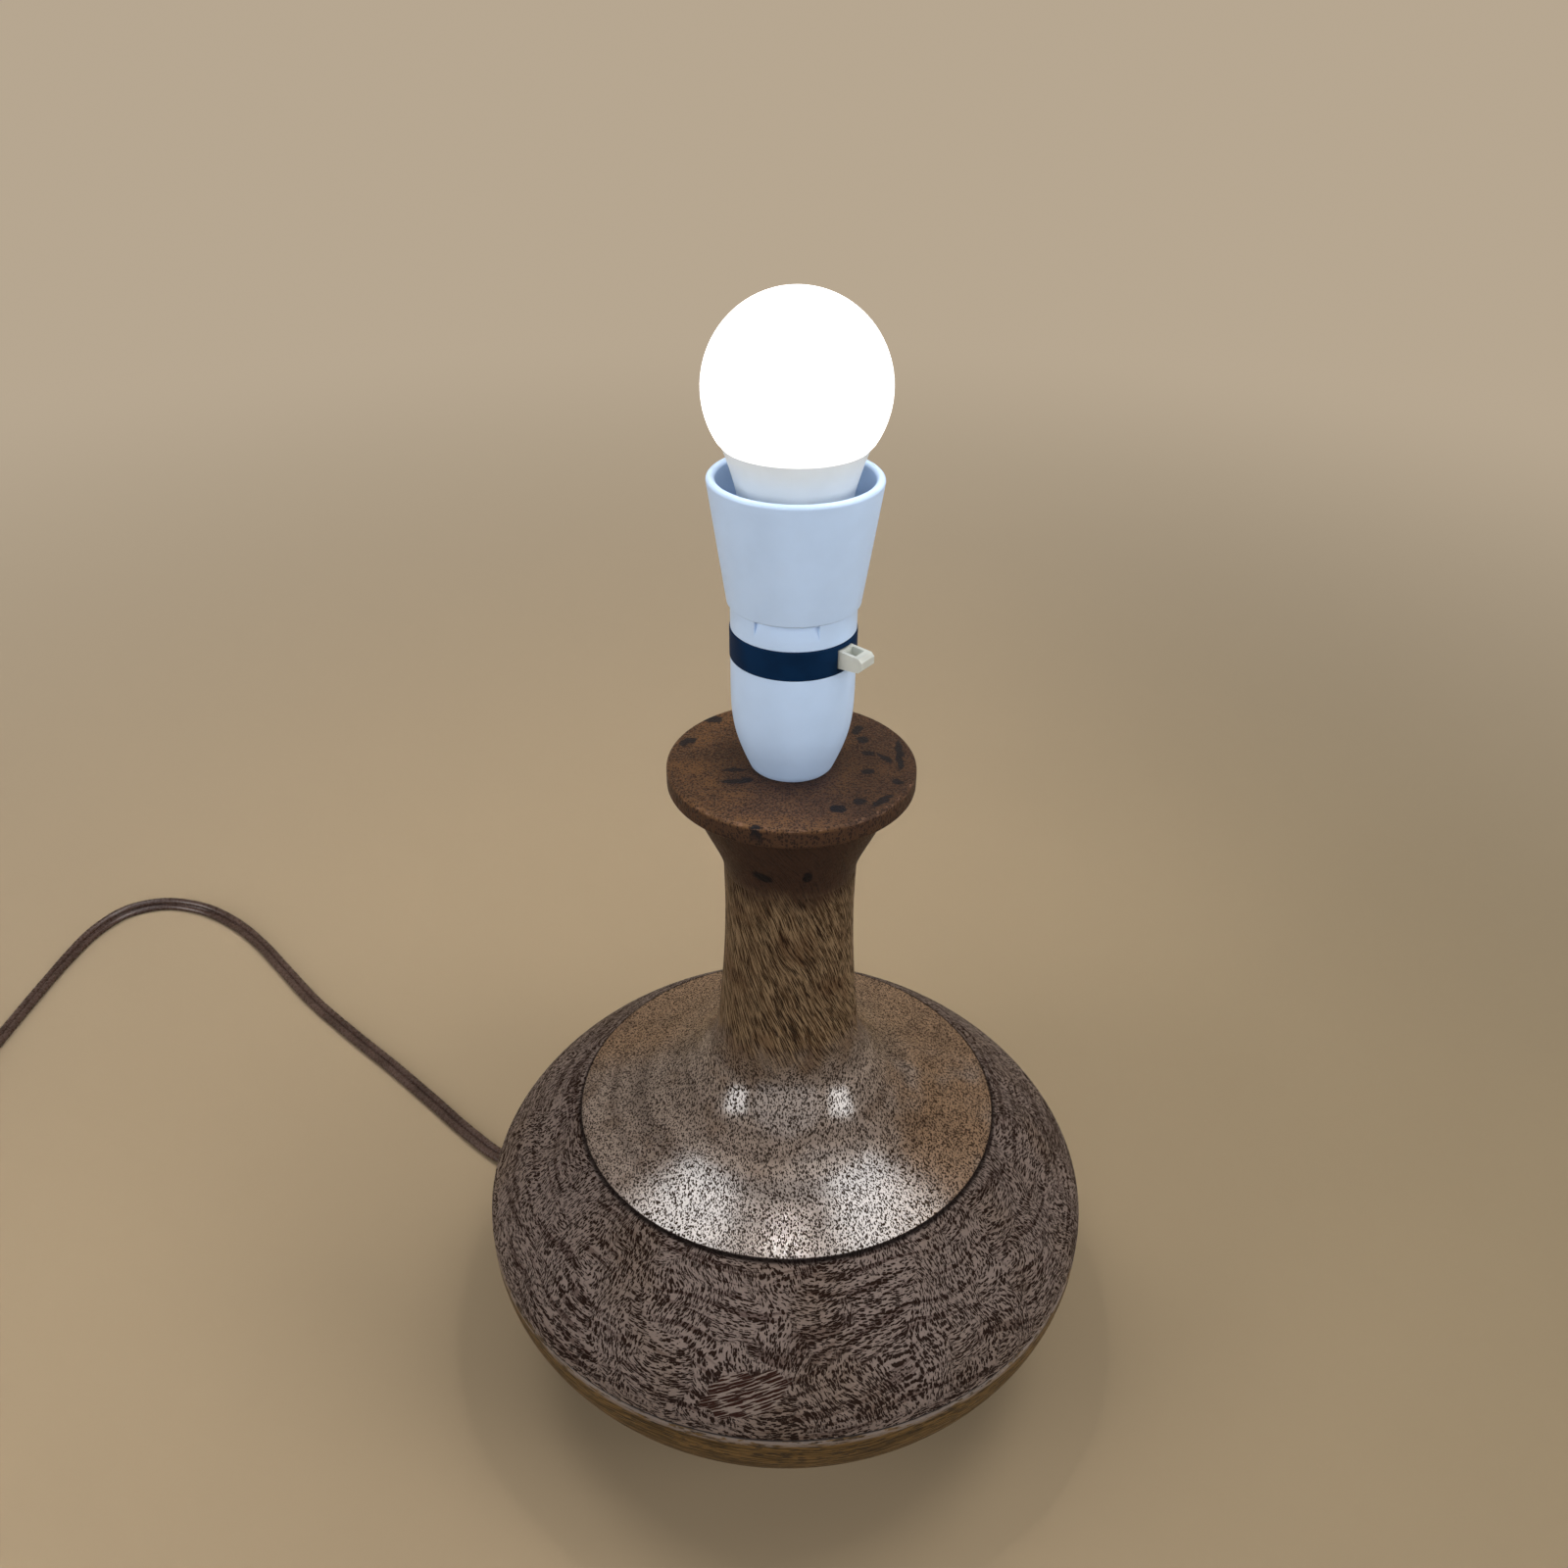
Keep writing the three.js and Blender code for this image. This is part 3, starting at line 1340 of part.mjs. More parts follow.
const bulb = new THREE.Group();
bulb.rotation.z = holderTurn;
bulb.add(
  piece('bulb_cap', bulbCap(), ...steel),
  piece('bulb_pin_near', bulbPin(1), ...brass),
  piece('bulb_pin_far', bulbPin(-1), ...brass),
  piece('cap_insulator', capInsulator(), 0x16161a, 0.25),
  piece('cap_contact_live', capContact(1), ...steel),
  piece('cap_contact_neutral', capContact(-1), ...steel),
  piece('bulb_housing', bulbHousing(), 0xe6ebf0, 0.4),
  piece('led_board', ledBoard(), 0xe9e9e4, 0.4),
  piece('driver_board', driverBoard(), 0x2c6a44, 0.5),
  piece('bulb_diffuser', bulbDiffuser(), 0xffffff, 0.3),
);

const cord = new THREE.Group();
cord.add(
  piece('flex_free', freeFlex(), ...flexBrown),
  piece('flex_coil', flexCoil(), ...flexBrown),
  piece('coil_tie', coilTie(), 0x1a1a1a, 0.7),
  piece('flex_tail', flexTail(), ...flexBrown),
);

const plug = new THREE.Group();
plug.rotation.z = Math.PI / 2;
plug.position.set(plugEntryX + plugBottomY, plugEntryY, 0);
plug.add(
  piece('plug_cover', plugCover(), ...plugBlack),
  piece('plug_base', plugBase(), ...plugBlack),
  ...plugPins.map((pin) => piece(pin.name, plugPin(pin), ...brass)),
  piece('plug_fuse', plugFuse(), 0xd9d2c2, 0.4),
  piece('plug_cover_screw', coverScrew(), ...steel),
  piece('plug_cord_grip', cordGrip(), 0x8a2f24, 0.5),
  piece('plug_grip_screw_left', gripScrew(-1), ...steel),
  piece('plug_grip_screw_right', gripScrew(1), ...steel),
);

const lamp = new THREE.Group();
lamp.name = 'carved_wooden_lamp';
lamp.add(body, holder, skirt, bulb, cord, plug);

export default lamp;
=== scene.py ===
"""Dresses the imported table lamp: the camera and the flex first, then wood, lampholder, bulb and plug."""
from math import asin, cos, degrees, hypot, pi, radians, sin, tau

import bmesh
import bpy
from mathutils import Matrix, Vector


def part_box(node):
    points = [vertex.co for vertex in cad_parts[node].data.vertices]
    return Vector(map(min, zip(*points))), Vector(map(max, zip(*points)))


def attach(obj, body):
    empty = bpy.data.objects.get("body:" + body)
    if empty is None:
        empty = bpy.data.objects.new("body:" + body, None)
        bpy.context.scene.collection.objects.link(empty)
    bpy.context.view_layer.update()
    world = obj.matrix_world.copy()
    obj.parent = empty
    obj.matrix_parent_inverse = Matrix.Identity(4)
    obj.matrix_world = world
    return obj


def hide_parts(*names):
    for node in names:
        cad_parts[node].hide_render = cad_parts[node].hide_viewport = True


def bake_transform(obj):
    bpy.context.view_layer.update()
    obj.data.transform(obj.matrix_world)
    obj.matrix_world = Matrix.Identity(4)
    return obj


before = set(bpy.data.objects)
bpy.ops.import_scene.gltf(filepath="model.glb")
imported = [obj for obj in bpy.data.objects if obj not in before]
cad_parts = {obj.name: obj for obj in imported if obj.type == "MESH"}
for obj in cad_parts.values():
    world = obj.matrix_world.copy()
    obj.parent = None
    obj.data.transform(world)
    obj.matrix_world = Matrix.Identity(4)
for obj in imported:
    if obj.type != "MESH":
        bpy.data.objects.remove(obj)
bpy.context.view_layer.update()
scene = bpy.context.scene
scene.view_settings.view_transform = "Standard"

# Outlines and routes are in millimetres. A pair of values is a radius and a height or length, and names
# that end in SHARES are parts of the step between two points
MM = 0.001

# Camera
CAMERA_PLACE = (-1.969, -325.342, 411.189)
CAMERA_PITCH = 31.83
CAMERA_ROLL = 0.651
SENSOR_WIDTH = 36
LENS = 32.4

# Fineness of the meshes
WOOD_SEGMENTS = 180
HOLDER_SEGMENTS = 144
SMALL_SEGMENTS = 48
CURVE_STEPS = 22
ARC_STEPS = 8
DOME_STEPS = 32
SHARP_ANGLE = 32
OVERRUN = 1
GAP = 0.3

# Wood
FOOT_RADIUS = 52.7
FOOT_CHAMFER = 0.8
BOWL_RIM_DROP = 3.5
BOWL_CURVE_SHARES = ((0.38, 0.21), (0, 0.38))
RECESS_RADIUS = 42
RECESS_DEPTH = 14.3
FUNNEL_RADIUS = 20
FUNNEL_HEIGHT = 22
BORE_RADIUS = 5.5
GROOVE_DEPTH = 0.7
GROOVE_ROUND = 0.25
BELLY_CURVE_SHARES = ((0.01, 0.35), (0.33, 0.19))
SHOULDER_RADIUS = 64.2
NECK_FOOT = (20.7, 36)
SHOULDER_CURVE_SHARES = ((0.55, 0.17), (0.02, 0.62))
NECK_WAIST = (18.35, 78)
NECK_CURVE_SHARES = ((0.48, 0.3), (0, 0.4))
NECK_TOP_RADIUS = 18.6
CAP_COLLAR_RADIUS = 28.5
CAP_CURVE_SHARES = ((0.02, 0.23), (0.28, 0.43))
DISC_THICKNESS = 6
DISC_ARRIS = 1
CAP_BORE = 5.3

# Flex and the bush it leaves by
CORD_AZIMUTH = 151
CORD_HOLE_HEIGHT = 14
CORD_HOLE_RADIUS = 4.6
BUSH_SEAT = 59
BUSH_SEAT_BORE = 6.9
BUSH_BODY = (4.3, 10)
BUSH_FLANGE = (6.5, 2.2)
BUSH_SLEEVE_LENGTH = 25
BUSH_TIP_RADIUS = 3.9
BUSH_GROOVES = 4
BUSH_GROOVE_WIDTH = 1.5
BUSH_GROOVE_DEPTH = 0.55
BUSH_GROOVE_STEP = 20
FLEX_WIDTH = 6
FLEX_THICKNESS = 3
FLEX_CREASE = 0.559
FREE_ROUTE = (
    (-88, 48.6, 10.6), (-98, 53.6, 5.6), (-108.6, 59.2, 2.4), (-123.2, 71.4, 1.6), (-142.5, 89.8, 1.55),
    (-162.9, 108.8, 1.55), (-184, 127.6, 1.55), (-206.9, 149, 1.55), (-226.9, 171, 1.55),
    (-243.6, 189.3, 1.55), (-260.5, 203.8, 1.55), (-280, 214.2, 1.55), (-299, 216.8, 1.55),
    (-313.5, 210.5, 1.55), (-322, 197, 1.55), (-326.8, 178, 1.55), (-329.6, 156.5, 1.55),
    (-331.6, 134, 1.55), (-333.2, 115, 1.7), (-334.2, 103, 2.1), (-334.5, 97.8, 2.4),
)
TAIL_ROUTE = (
    (-334.5, 77, 6), (-334.5, 70, 5.9), (-334.4, 62, 5.1), (-334.6, 52, 3), (-335.6, 42, 1.7),
    (-338.6, 31.5, 1.55), (-344.6, 21.5, 1.7), (-353, 14, 3.6), (-362.5, 9.6, 7.2), (-370.5, 8.1, 9.9),
)
PLUG_ENTRY = (-379, 8, 10.8)
PLUG_INSIDE = 11.5
COIL_MEAN_RADIUS = 36
COIL_PITCH = 6.6
COIL_LAYER_PITCH = 3.6
COIL_TURNS = 5
COIL_STEPS = 48
COIL_CLIMB = 0.25
COIL_OUTER_RADIUS = COIL_MEAN_RADIUS + COIL_PITCH * COIL_TURNS / 4
COIL_START_DROP = GAP + FLEX_WIDTH
FLEX_STEP = 2
TIE_THICKNESS = 0.65
TIE_HALF_WIDTH = 2.1
TIE_CORNER = 1.5
TIE_SLACK = 0.12
EDGE_TURN = 70
EDGE_PLACE = (-299, 216.8)
EDGE_REACH = 65

# Lampholder
HOLDER_AZIMUTH = -36.5
BARREL_FOOT = (10.8, 0.4)
BARREL_CURVE_HEIGHT = 26.5
BARREL_CURVE_SHARES = ((0.95, 0.41), (0, 0.45))
BARREL_WALL = 1.6
BARREL_FLOOR = 2
BARREL_LIP = 0.35
BAND_HEIGHT = 7.8
BAND_ROUND = 0.25
SPIGOT_RADIUS = 14.25
BOSS = (11, 0.8)
TERMINAL = (5.8, 6, 7.1)
TERMINAL_TOP_RISE = 8.6
TERMINAL_SCREW_RISE = 3.9
TERMINAL_SCREW_HEAD = 2.3
PLUNGER_OFFSET = 5.3
PLUNGER_RADII = (1.8, 1.3)
PLUNGER_SHOULDER_DROP = 1.1
BAR_HEAD = (5.7, 4.9)
BAR_HEAD_DEPTH = 2.15
BAR_TRAVEL = 5
BAR_SHANK = (3.4, 3)
BRIDGE_THICKNESS = 0.8
COLLAR_HEIGHT = 6.7
SLEEVE_BORE = 11.3
SLEEVE_RADIUS = 14.3
NOTCH_AZIMUTH = -97
NOTCH_HALF_ANGLE = 30
NOTCH_HEIGHT = 4
NOTCH_DEPTH = 1.1
SLOT_ROOM = 1.3
BULB_TWIST = 20
SKIRT_FOOT_RADIUS = 17
SKIRT_WALL = 1.6
SKIRT_BEAD = 1.1
SKIRT_THREAD_HEIGHT = 8
SKIRT_LIP_HEIGHT = 2

# Bulb
HOUSING_FOOT_RADIUS = 12.5
HOUSING_SPIGOT = (9, 6)
HOUSING_WALL = 1.2
HOUSING_WAIST = (14.5, 10.6)
HOUSING_LEDGE = (1.2, 2.8)
HOUSING_CURVE_SHARES = ((0.25, 0.33), (0.42, 0.33))
DIFFUSER_WALL = 1
DIFFUSER_LIP = 1.3

# Bevels on pieces kept from the model
FINE_BEVEL = 0.15
BEVELS = {"switch_bar": 0.35, "plug_cover": 0.9, "plug_base": 0.9}
BEVEL_SEGMENTS = 2

# Light and surroundings, at a plain level. A lamp's row is its name, place, size and power
FLOOR_COLOR = (0.36, 0.27, 0.168)
# Painted shade: the floor darkens to this colour towards the right, across this span of x
FLOOR_SHADE_COLOR = (0.225, 0.171, 0.102)
FLOOR_SHADE_SPAN = (-40, 400)
FLOOR_SWAY = (160, 60)
FLOOR_HALF = 20000
FLOOR_THICKNESS = 1
FLOOR_FAR = (100, 1300)
FAR_COLOR = (0.472, 0.385, 0.281)
WORLD_LEVEL = 0.13
LAMPS = (
    ("left", (-430, 200, 1250), (360, 400), 3.2),
    ("right", (440, 170, 1250), (460, 440), 4.6),
    ("ceiling", (60, 60, 1320), (1300, 560), 2.6),
    ("front_left", (-1700, -950, 850), (800, 1000), 15),
    ("front_right", (1650, -800, 850), (800, 1000), 16),
)
FRONT_LEVEL = 0.95
FRONT_TINT = (0.9, 1, 1.12)
FRONT_HEIGHT = 16
FRONT_SPREAD = 80
BULB_LEVEL = 880
BULB_DIM = 0.0045
BULB_SEEN = 0.0015
BULB_LIT = (9, 19)

# Wood grain: sizes of the cells that hold a pore, a streak or a worn spot each, and places of marks
BELLY_ROUND = 80
BELLY_SLOPE = 0.8
BELLY_ROW = (26, 26, 2)
BELLY_TICK = (0.5, 0.5, 1.6)
BELLY_DASH = (1.8, 1.8, 0.48)
KNOT_PLACE = (-10.5, -84, 65)
KNOT_LEAN = 24
KNOT_SIZE = (13, 6.5, 1)
KNOT_STROKE = (6.5, 0.62, 1)
DOME_TILT = 52
DOME_LEAN = 8
DOME_PORE = (0.43, 0.43, 0.95)
NECK_ROUND = 19
NECK_LEAN = 0.42
NECK_LINE = (0.4, 0.4, 7)
NECK_PORE = (0.4, 0.4, 4.6)
CAP_SPECK = (0.62, 0.62, 1)
CAP_GRAIN = (0.6, 0.6, 1.6)
ARRIS_WEAR = (3, 3, 0.8)
BOWL_PORE = (3.6, 3.6, 0.8)
BOWL_GRAIN = (12, 12, 0.7)
RIM_SCUFF = (5, 5, 0.8)
TOOL_MARK = (2, 2, 0.12)
WEAVE = (0.45, 0.45, 0.45)
COLLAR_BLEND = 9
SHOULDER_TOP = (118, 134)
# Width of the painted shade along the grooves
GROOVE_SHADE = 0.65
CHIP_PLACE = (-17, -69, 94)
CHIP_SIZE = (2.2, 1.2, 0.9)
SCRATCH_PLACE = (29, 7, 120)
SCRATCH_SIZE = (6, 5, 5)
SCRATCH_LINE = (1.2, 5, 9)
LACQUER_ROUGHNESS = 0.2
LACQUER_IOR = 1.8

# Colours of the woods, the soft pieces and the lit bulb
BELLY_PALE = (0.178, 0.133, 0.113)
BELLY_DARK = (0.095, 0.064, 0.054)
BELLY_WARM = (0.13, 0.088, 0.06)
BELLY_PORE_COLOR = (0.011, 0.0045, 0.0025)
KNOT_PALE = (0.19, 0.145, 0.12)
KNOT_PORE_COLOR = (0.02, 0.0055, 0.003)
CHIP_COLOR = (0.8, 0.78, 0.74)
NECK_DARK = (0.045, 0.023, 0.01)
NECK_PALE = (0.225, 0.148, 0.082)
DOME_DARK = (0.14, 0.1, 0.08)
DOME_PALE = (0.235, 0.174, 0.138)
DOME_WARM = (0.2, 0.105, 0.045)
PATCH_COLOR = (0.085, 0.042, 0.02)
NECK_PORE_COLOR = (0.01, 0.005, 0.0025)
SCRATCH_COLOR = (0.4, 0.34, 0.26)
CAP_DARK = (0.044, 0.021, 0.011)
CAP_PALE = (0.135, 0.068, 0.034)
CAP_WARM = (0.15, 0.072, 0.029)
# Painted shade on the cap
CAP_SHADE_COLOR = (0.036, 0.018, 0.013)
CAP_SPECK_COLOR = (0.014, 0.008, 0.007)
INK_COLOR = (0.008, 0.007, 0.009)
ARRIS_COLOR = (0.24, 0.13, 0.08)
SMUDGE_COLOR = (0.003, 0.003, 0.004)
COLLAR_PORE_COLOR = (0.01, 0.006, 0.005)
BOWL_DARK = (0.03, 0.016, 0.004)
BOWL_PALE = (0.125, 0.068, 0.02)
BOWL_PORE_COLOR = (0.014, 0.008, 0.004)
RUBBED_COLOR = (0.2, 0.155, 0.13)
FLEX_COLORS = ((0.028, 0.013, 0.01), (0.055, 0.03, 0.024))
FELT_COLORS = ((0.02, 0.035, 0.016), (0.05, 0.085, 0.04))
STRAP_COLORS = ((0.009, 0.009, 0.01), (0.026, 0.026, 0.028))
OPAL_COLORS = ((0.93, 0.93, 0.93), (0.97, 0.97, 0.97))
GLOW_COLOR = (1.0, 0.98, 0.95)
# The collar's tone: partly its own dark wood, partly painted shade under the disc
COLLAR_DARK_AND_SHADE_COLOR = (0.038, 0.019, 0.012)
# Painted shade in the grooves
GROOVE_SHADE_COLOR = (0.009, 0.005, 0.004)

# Plastics: colour, roughness, and where they differ cloudiness, depth of grain and reflection
PLASTICS = {
    "bush rubber": ((0.022, 0.015, 0.012), 0.6, 0.2, 0.03),
    "holder white": ((0.58, 0.74, 0.98), 0.4, 0.02),
    "band navy": ((0.002, 0.018, 0.055), 0.55, 0.2, 0.012, 0.06),
    "housing white": ((0.92, 0.96, 0.97), 0.4, 0.02),
    "nylon": ((0.68, 0.68, 0.64), 0.45),
    "brown core": ((0.2, 0.07, 0.02), 0.4),
    "blue core": ((0.03, 0.12, 0.4), 0.4),
    "black glass": ((0.01, 0.01, 0.013), 0.15),
    "bar": ((0.62, 0.63, 0.57), 0.38, 0.12),
    "plug brown": ((0.035, 0.02, 0.014), 0.3, 0.2, 0.02),
    "fuse": ((0.7, 0.66, 0.56), 0.3),
    "fibre": ((0.28, 0.04, 0.025), 0.6, 0.2, 0.05),
    "light board": ((0.8, 0.8, 0.76), 0.4),
    "driver board": ((0.02, 0.13, 0.05), 0.4),
}
# Metals: colour and roughness
METALS = {
    "brass": ((0.62, 0.43, 0.17), 0.3),
    "steel": ((0.52, 0.53, 0.55), 0.3),
    "nickel": ((0.56, 0.57, 0.59), 0.25),
    "solder": ((0.45, 0.46, 0.48), 0.4),
}
# Nodes that keep the model's own shape, by finish
KEPT_NODES = {
    "felt": ("felt_pad",),
    "flex brown": ("flex_internal",),
    "nylon": ("cord_clamp",),
    "brown core": ("wire_core_live",),
    "blue core": ("wire_core_neutral",),
    "black glass": ("cap_insulator",),
    "light board": ("led_board",),
    "driver board": ("driver_board",),
    "fuse": ("plug_fuse",),
    "fibre": ("plug_cord_grip",),
    "bar": ("switch_bar",),
    "plug brown": ("plug_cover", "plug_base"),
    "nickel": ("bulb_cap",),
    "solder": ("cap_contact_live", "cap_contact_neutral"),
    "steel": (
        "clamp_screw_left", "clamp_screw_right", "plug_cover_screw",
        "plug_grip_screw_left", "plug_grip_screw_right",
    ),
    "brass": (
        "entry_nipple", "lock_nut", "terminal_live", "terminal_neutral", "terminal_screw_live",
        "terminal_screw_neutral", "plunger_live", "plunger_neutral", "switch_contact",
        "bulb_pin_near", "bulb_pin_far", "plug_pin_live", "plug_pin_neutral", "plug_pin_earth",
    ),
}

# Ink-dark marks on the cap: place, half length and half width, and the turn of the stroke in degrees
CAP_MARKS = (
    (-15.2, -4.8, 3.6, 0.8, 0), (-15, -10.7, 4, 1, 4), (-12, -10, 1.6, 1.3, 0), (-22.3, 22.5, 3, 2, 0),
    (29.3, 4, 8.5, 1.1, 88), (25, 2.3, 3, 1, -55), (21, 4.5, 1.7, 1.5, 0), (19.5, 11.8, 1.8, 1.6, 0),
    (18.3, 17.5, 2.4, 1.4, 70), (20.4, -4.8, 1.9, 1.2, 0), (27.8, -10, 1.6, 1.4, 0),
    (23.4, -19.3, 4.4, 1.2, 46), (17.7, -19.7, 1.8, 1.6, 0), (11.8, -23.4, 2, 1.9, 0),
    (-9, -32.5, 1.6, 1.2, 0), (-28.5, 10, 3, 1.5, 40),
)
COLLAR_MARKS = ((-7.4, 192.2, 3, 1.9, -25), (4.6, 193.4, 1.5, 2.4, 0))


def levels(node):
    """Lowest and highest level of a node of the model, in millimetres."""
    low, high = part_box(node)
    return low.z / MM, high.z / MM


def reach(node):
    """The largest distance of a node's corners from the lamp's axis, in millimetres."""
    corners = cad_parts[node].data.vertices
    return max(hypot(corner.co.x, corner.co.y) for corner in corners) / MM


def bend(start, end, shares, steps=CURVE_STEPS):
    """Points of a curve whose two handles are shares of the step from start to end."""
    across, up = end[0] - start[0], end[1] - start[1]
    (start_across, start_up), (end_across, end_up) = shares
    handles = (
        start,
        (start[0] + across * start_across, start[1] + up * start_up),
        (end[0] - across * end_across, end[1] - up * end_up),
        end,
    )
    points = []
    for step in range(steps + 1):
        t = step / steps
        weights = ((1 - t) ** 3, 3 * t * (1 - t) ** 2, 3 * t**2 * (1 - t), t**3)
        points.append(tuple(
            sum(weight * handle[axis] for weight, handle in zip(weights, handles))
            for axis in (0, 1)
        ))
    return points


def arc(centre, radius, first, last, steps=ARC_STEPS):
    """Points of an arc between two angles in degrees."""
    turns = [radians(first + (last - first) * step / steps) for step in range(steps + 1)]
    return [(centre[0] + radius * cos(turn), centre[1] + radius * sin(turn)) for turn in turns]


def add_object(name, data):
    """A new object in the scene."""
    made = bpy.data.objects.new(name, data)
    scene.collection.objects.link(made)
    return made


def add_piece(name, shape):
    """A named object of the scene from a mesh under construction."""
    mesh = bpy.data.meshes.new(name)
    bmesh.ops.recalc_face_normals(shape, faces=shape.faces)
    shape.to_mesh(mesh)
    shape.free()
    return add_object(name, mesh)


def skin(shape, rings, closed=False):
    """Faces between rings of corners, which form a loop or end in a face each."""
    for one, other in zip(rings, [*rings[1:], rings[0]] if closed else rings[1:]):
        for index, corner in enumerate(one):
            beside = (index + 1) % len(one)
            shape.faces.new((corner, one[beside], other[beside], other[index]))
    if not closed:
        shape.faces.new(rings[0])
        shape.faces.new(rings[-1])


def add_corner(shape, radius, height, turn):
    """A corner at a distance from the axis, a height and a turn about Z in radians."""
    return shape.verts.new((radius * cos(turn) * MM, radius * sin(turn) * MM, height * MM))


def revolve(name, outline, segments=HOLDER_SEGMENTS):
    """A body turned about Z from an outline that closes on itself or runs from axis to axis."""
    shape = bmesh.new()
    rings = []
    for radius, height in outline:
        count = segments if radius > MM else 1
        rings.append([
            add_corner(shape, radius, height, tau * step / count) for step in range(count)
        ])
    pairs = list(zip(rings, rings[1:]))
    if len(rings[0]) > 1:
        pairs.append((rings[-1], rings[0]))
    for lower, upper in pairs:
        for step in range(segments):
            corners = [
                lower[step % len(lower)],
                lower[(step + 1) % len(lower)],
                upper[(step + 1) % len(upper)],
                upper[step % len(upper)],
            ]
            shape.faces.new(dict.fromkeys(corners))
    return add_piece(name, shape)


def wedge_tool(outline, first, last, steps):
    """An outline swept about Z between two angles in degrees, to cut with."""
    shape = bmesh.new()
    turns = [radians(first + (last - first) * step / steps) for step in range(steps + 1)]
    skin(shape, [[add_corner(shape, *point, turn) for point in outline] for turn in turns])
    return add_piece("tool", shape)


def box_tool(low, high, turn=0):
    """A box between two corners, turned about Z by degrees, to cut with."""
    shape = bmesh.new()
    bmesh.ops.create_cube(shape, size=1)
    size = Vector(high) - Vector(low)
    centre = (Vector(high) + Vector(low)) / 2
    place = Matrix.Rotation(radians(turn), 4, "Z") @ Matrix.Translation(centre * MM)
    bmesh.ops.transform(shape, matrix=place @ Matrix.Diagonal((*(size * MM), 1)), verts=shape.verts)
    return add_piece("tool", shape)


def rod_tool(radius, start, end, segments=SMALL_SEGMENTS):
    """A round bar between two places, to cut with."""
    shape = bmesh.new()
    start, end = Vector(start) * MM, Vector(end) * MM
    along = end - start
    bmesh.ops.create_cone(
        shape, cap_ends=True, segments=segments,
        radius1=radius * MM, radius2=radius * MM, depth=along.length,
    )
    turn = along.to_track_quat("Z", "Y").to_matrix().to_4x4()
    place = Matrix.Translation((start + end) / 2) @ turn
    bmesh.ops.transform(shape, matrix=place, verts=shape.verts)
    return add_piece("tool", shape)


def carve(piece, *tools):
    """Takes every tool's space away from the piece, and the tools from the scene."""
    for tool in tools:
        cut = piece.modifiers.new("cut", "BOOLEAN")
        cut.operation = "DIFFERENCE"
        cut.solver = "EXACT"
        cut.object = tool
    depsgraph = bpy.context.evaluated_depsgraph_get()
    carved = bpy.data.meshes.new_from_object(piece.evaluated_get(depsgraph))
    piece.modifiers.clear()
    piece.data = carved
    for tool in tools:
        bpy.data.objects.remove(tool)
    return piece


def shade(piece):
    """Smooth faces with sharp edges where the surface turns quickly."""
    shape = bmesh.new()
    shape.from_mesh(piece.data)
    for face in shape.faces:
        face.smooth = True
    for edge in shape.edges:
        edge.smooth = edge.calc_face_angle(0) < radians(SHARP_ANGLE)
    shape.to_mesh(piece.data)
    shape.free()


def dress(piece, finish, slot, body, *nodes):
    """Gives a piece its finish, the body it rides on and the nodes it stands for; its slot is not used."""
    piece.data.materials.clear()
    piece.data.materials.append(finish)
    shade(piece)
    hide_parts(*nodes)
    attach(piece, body)
    return piece


def finish_node(node, finish):
    """Gives a node of the model its finish and softly broken edges."""
    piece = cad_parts[node]
    for slot in piece.material_slots:
        slot.material = finish
    edge = piece.modifiers.new("edges", "BEVEL")
    edge.width = BEVELS.get(node, FINE_BEVEL) * MM
    edge.segments = BEVEL_SEGMENTS
    edge.limit_method = "ANGLE"
    edge.angle_limit = radians(SHARP_ANGLE)


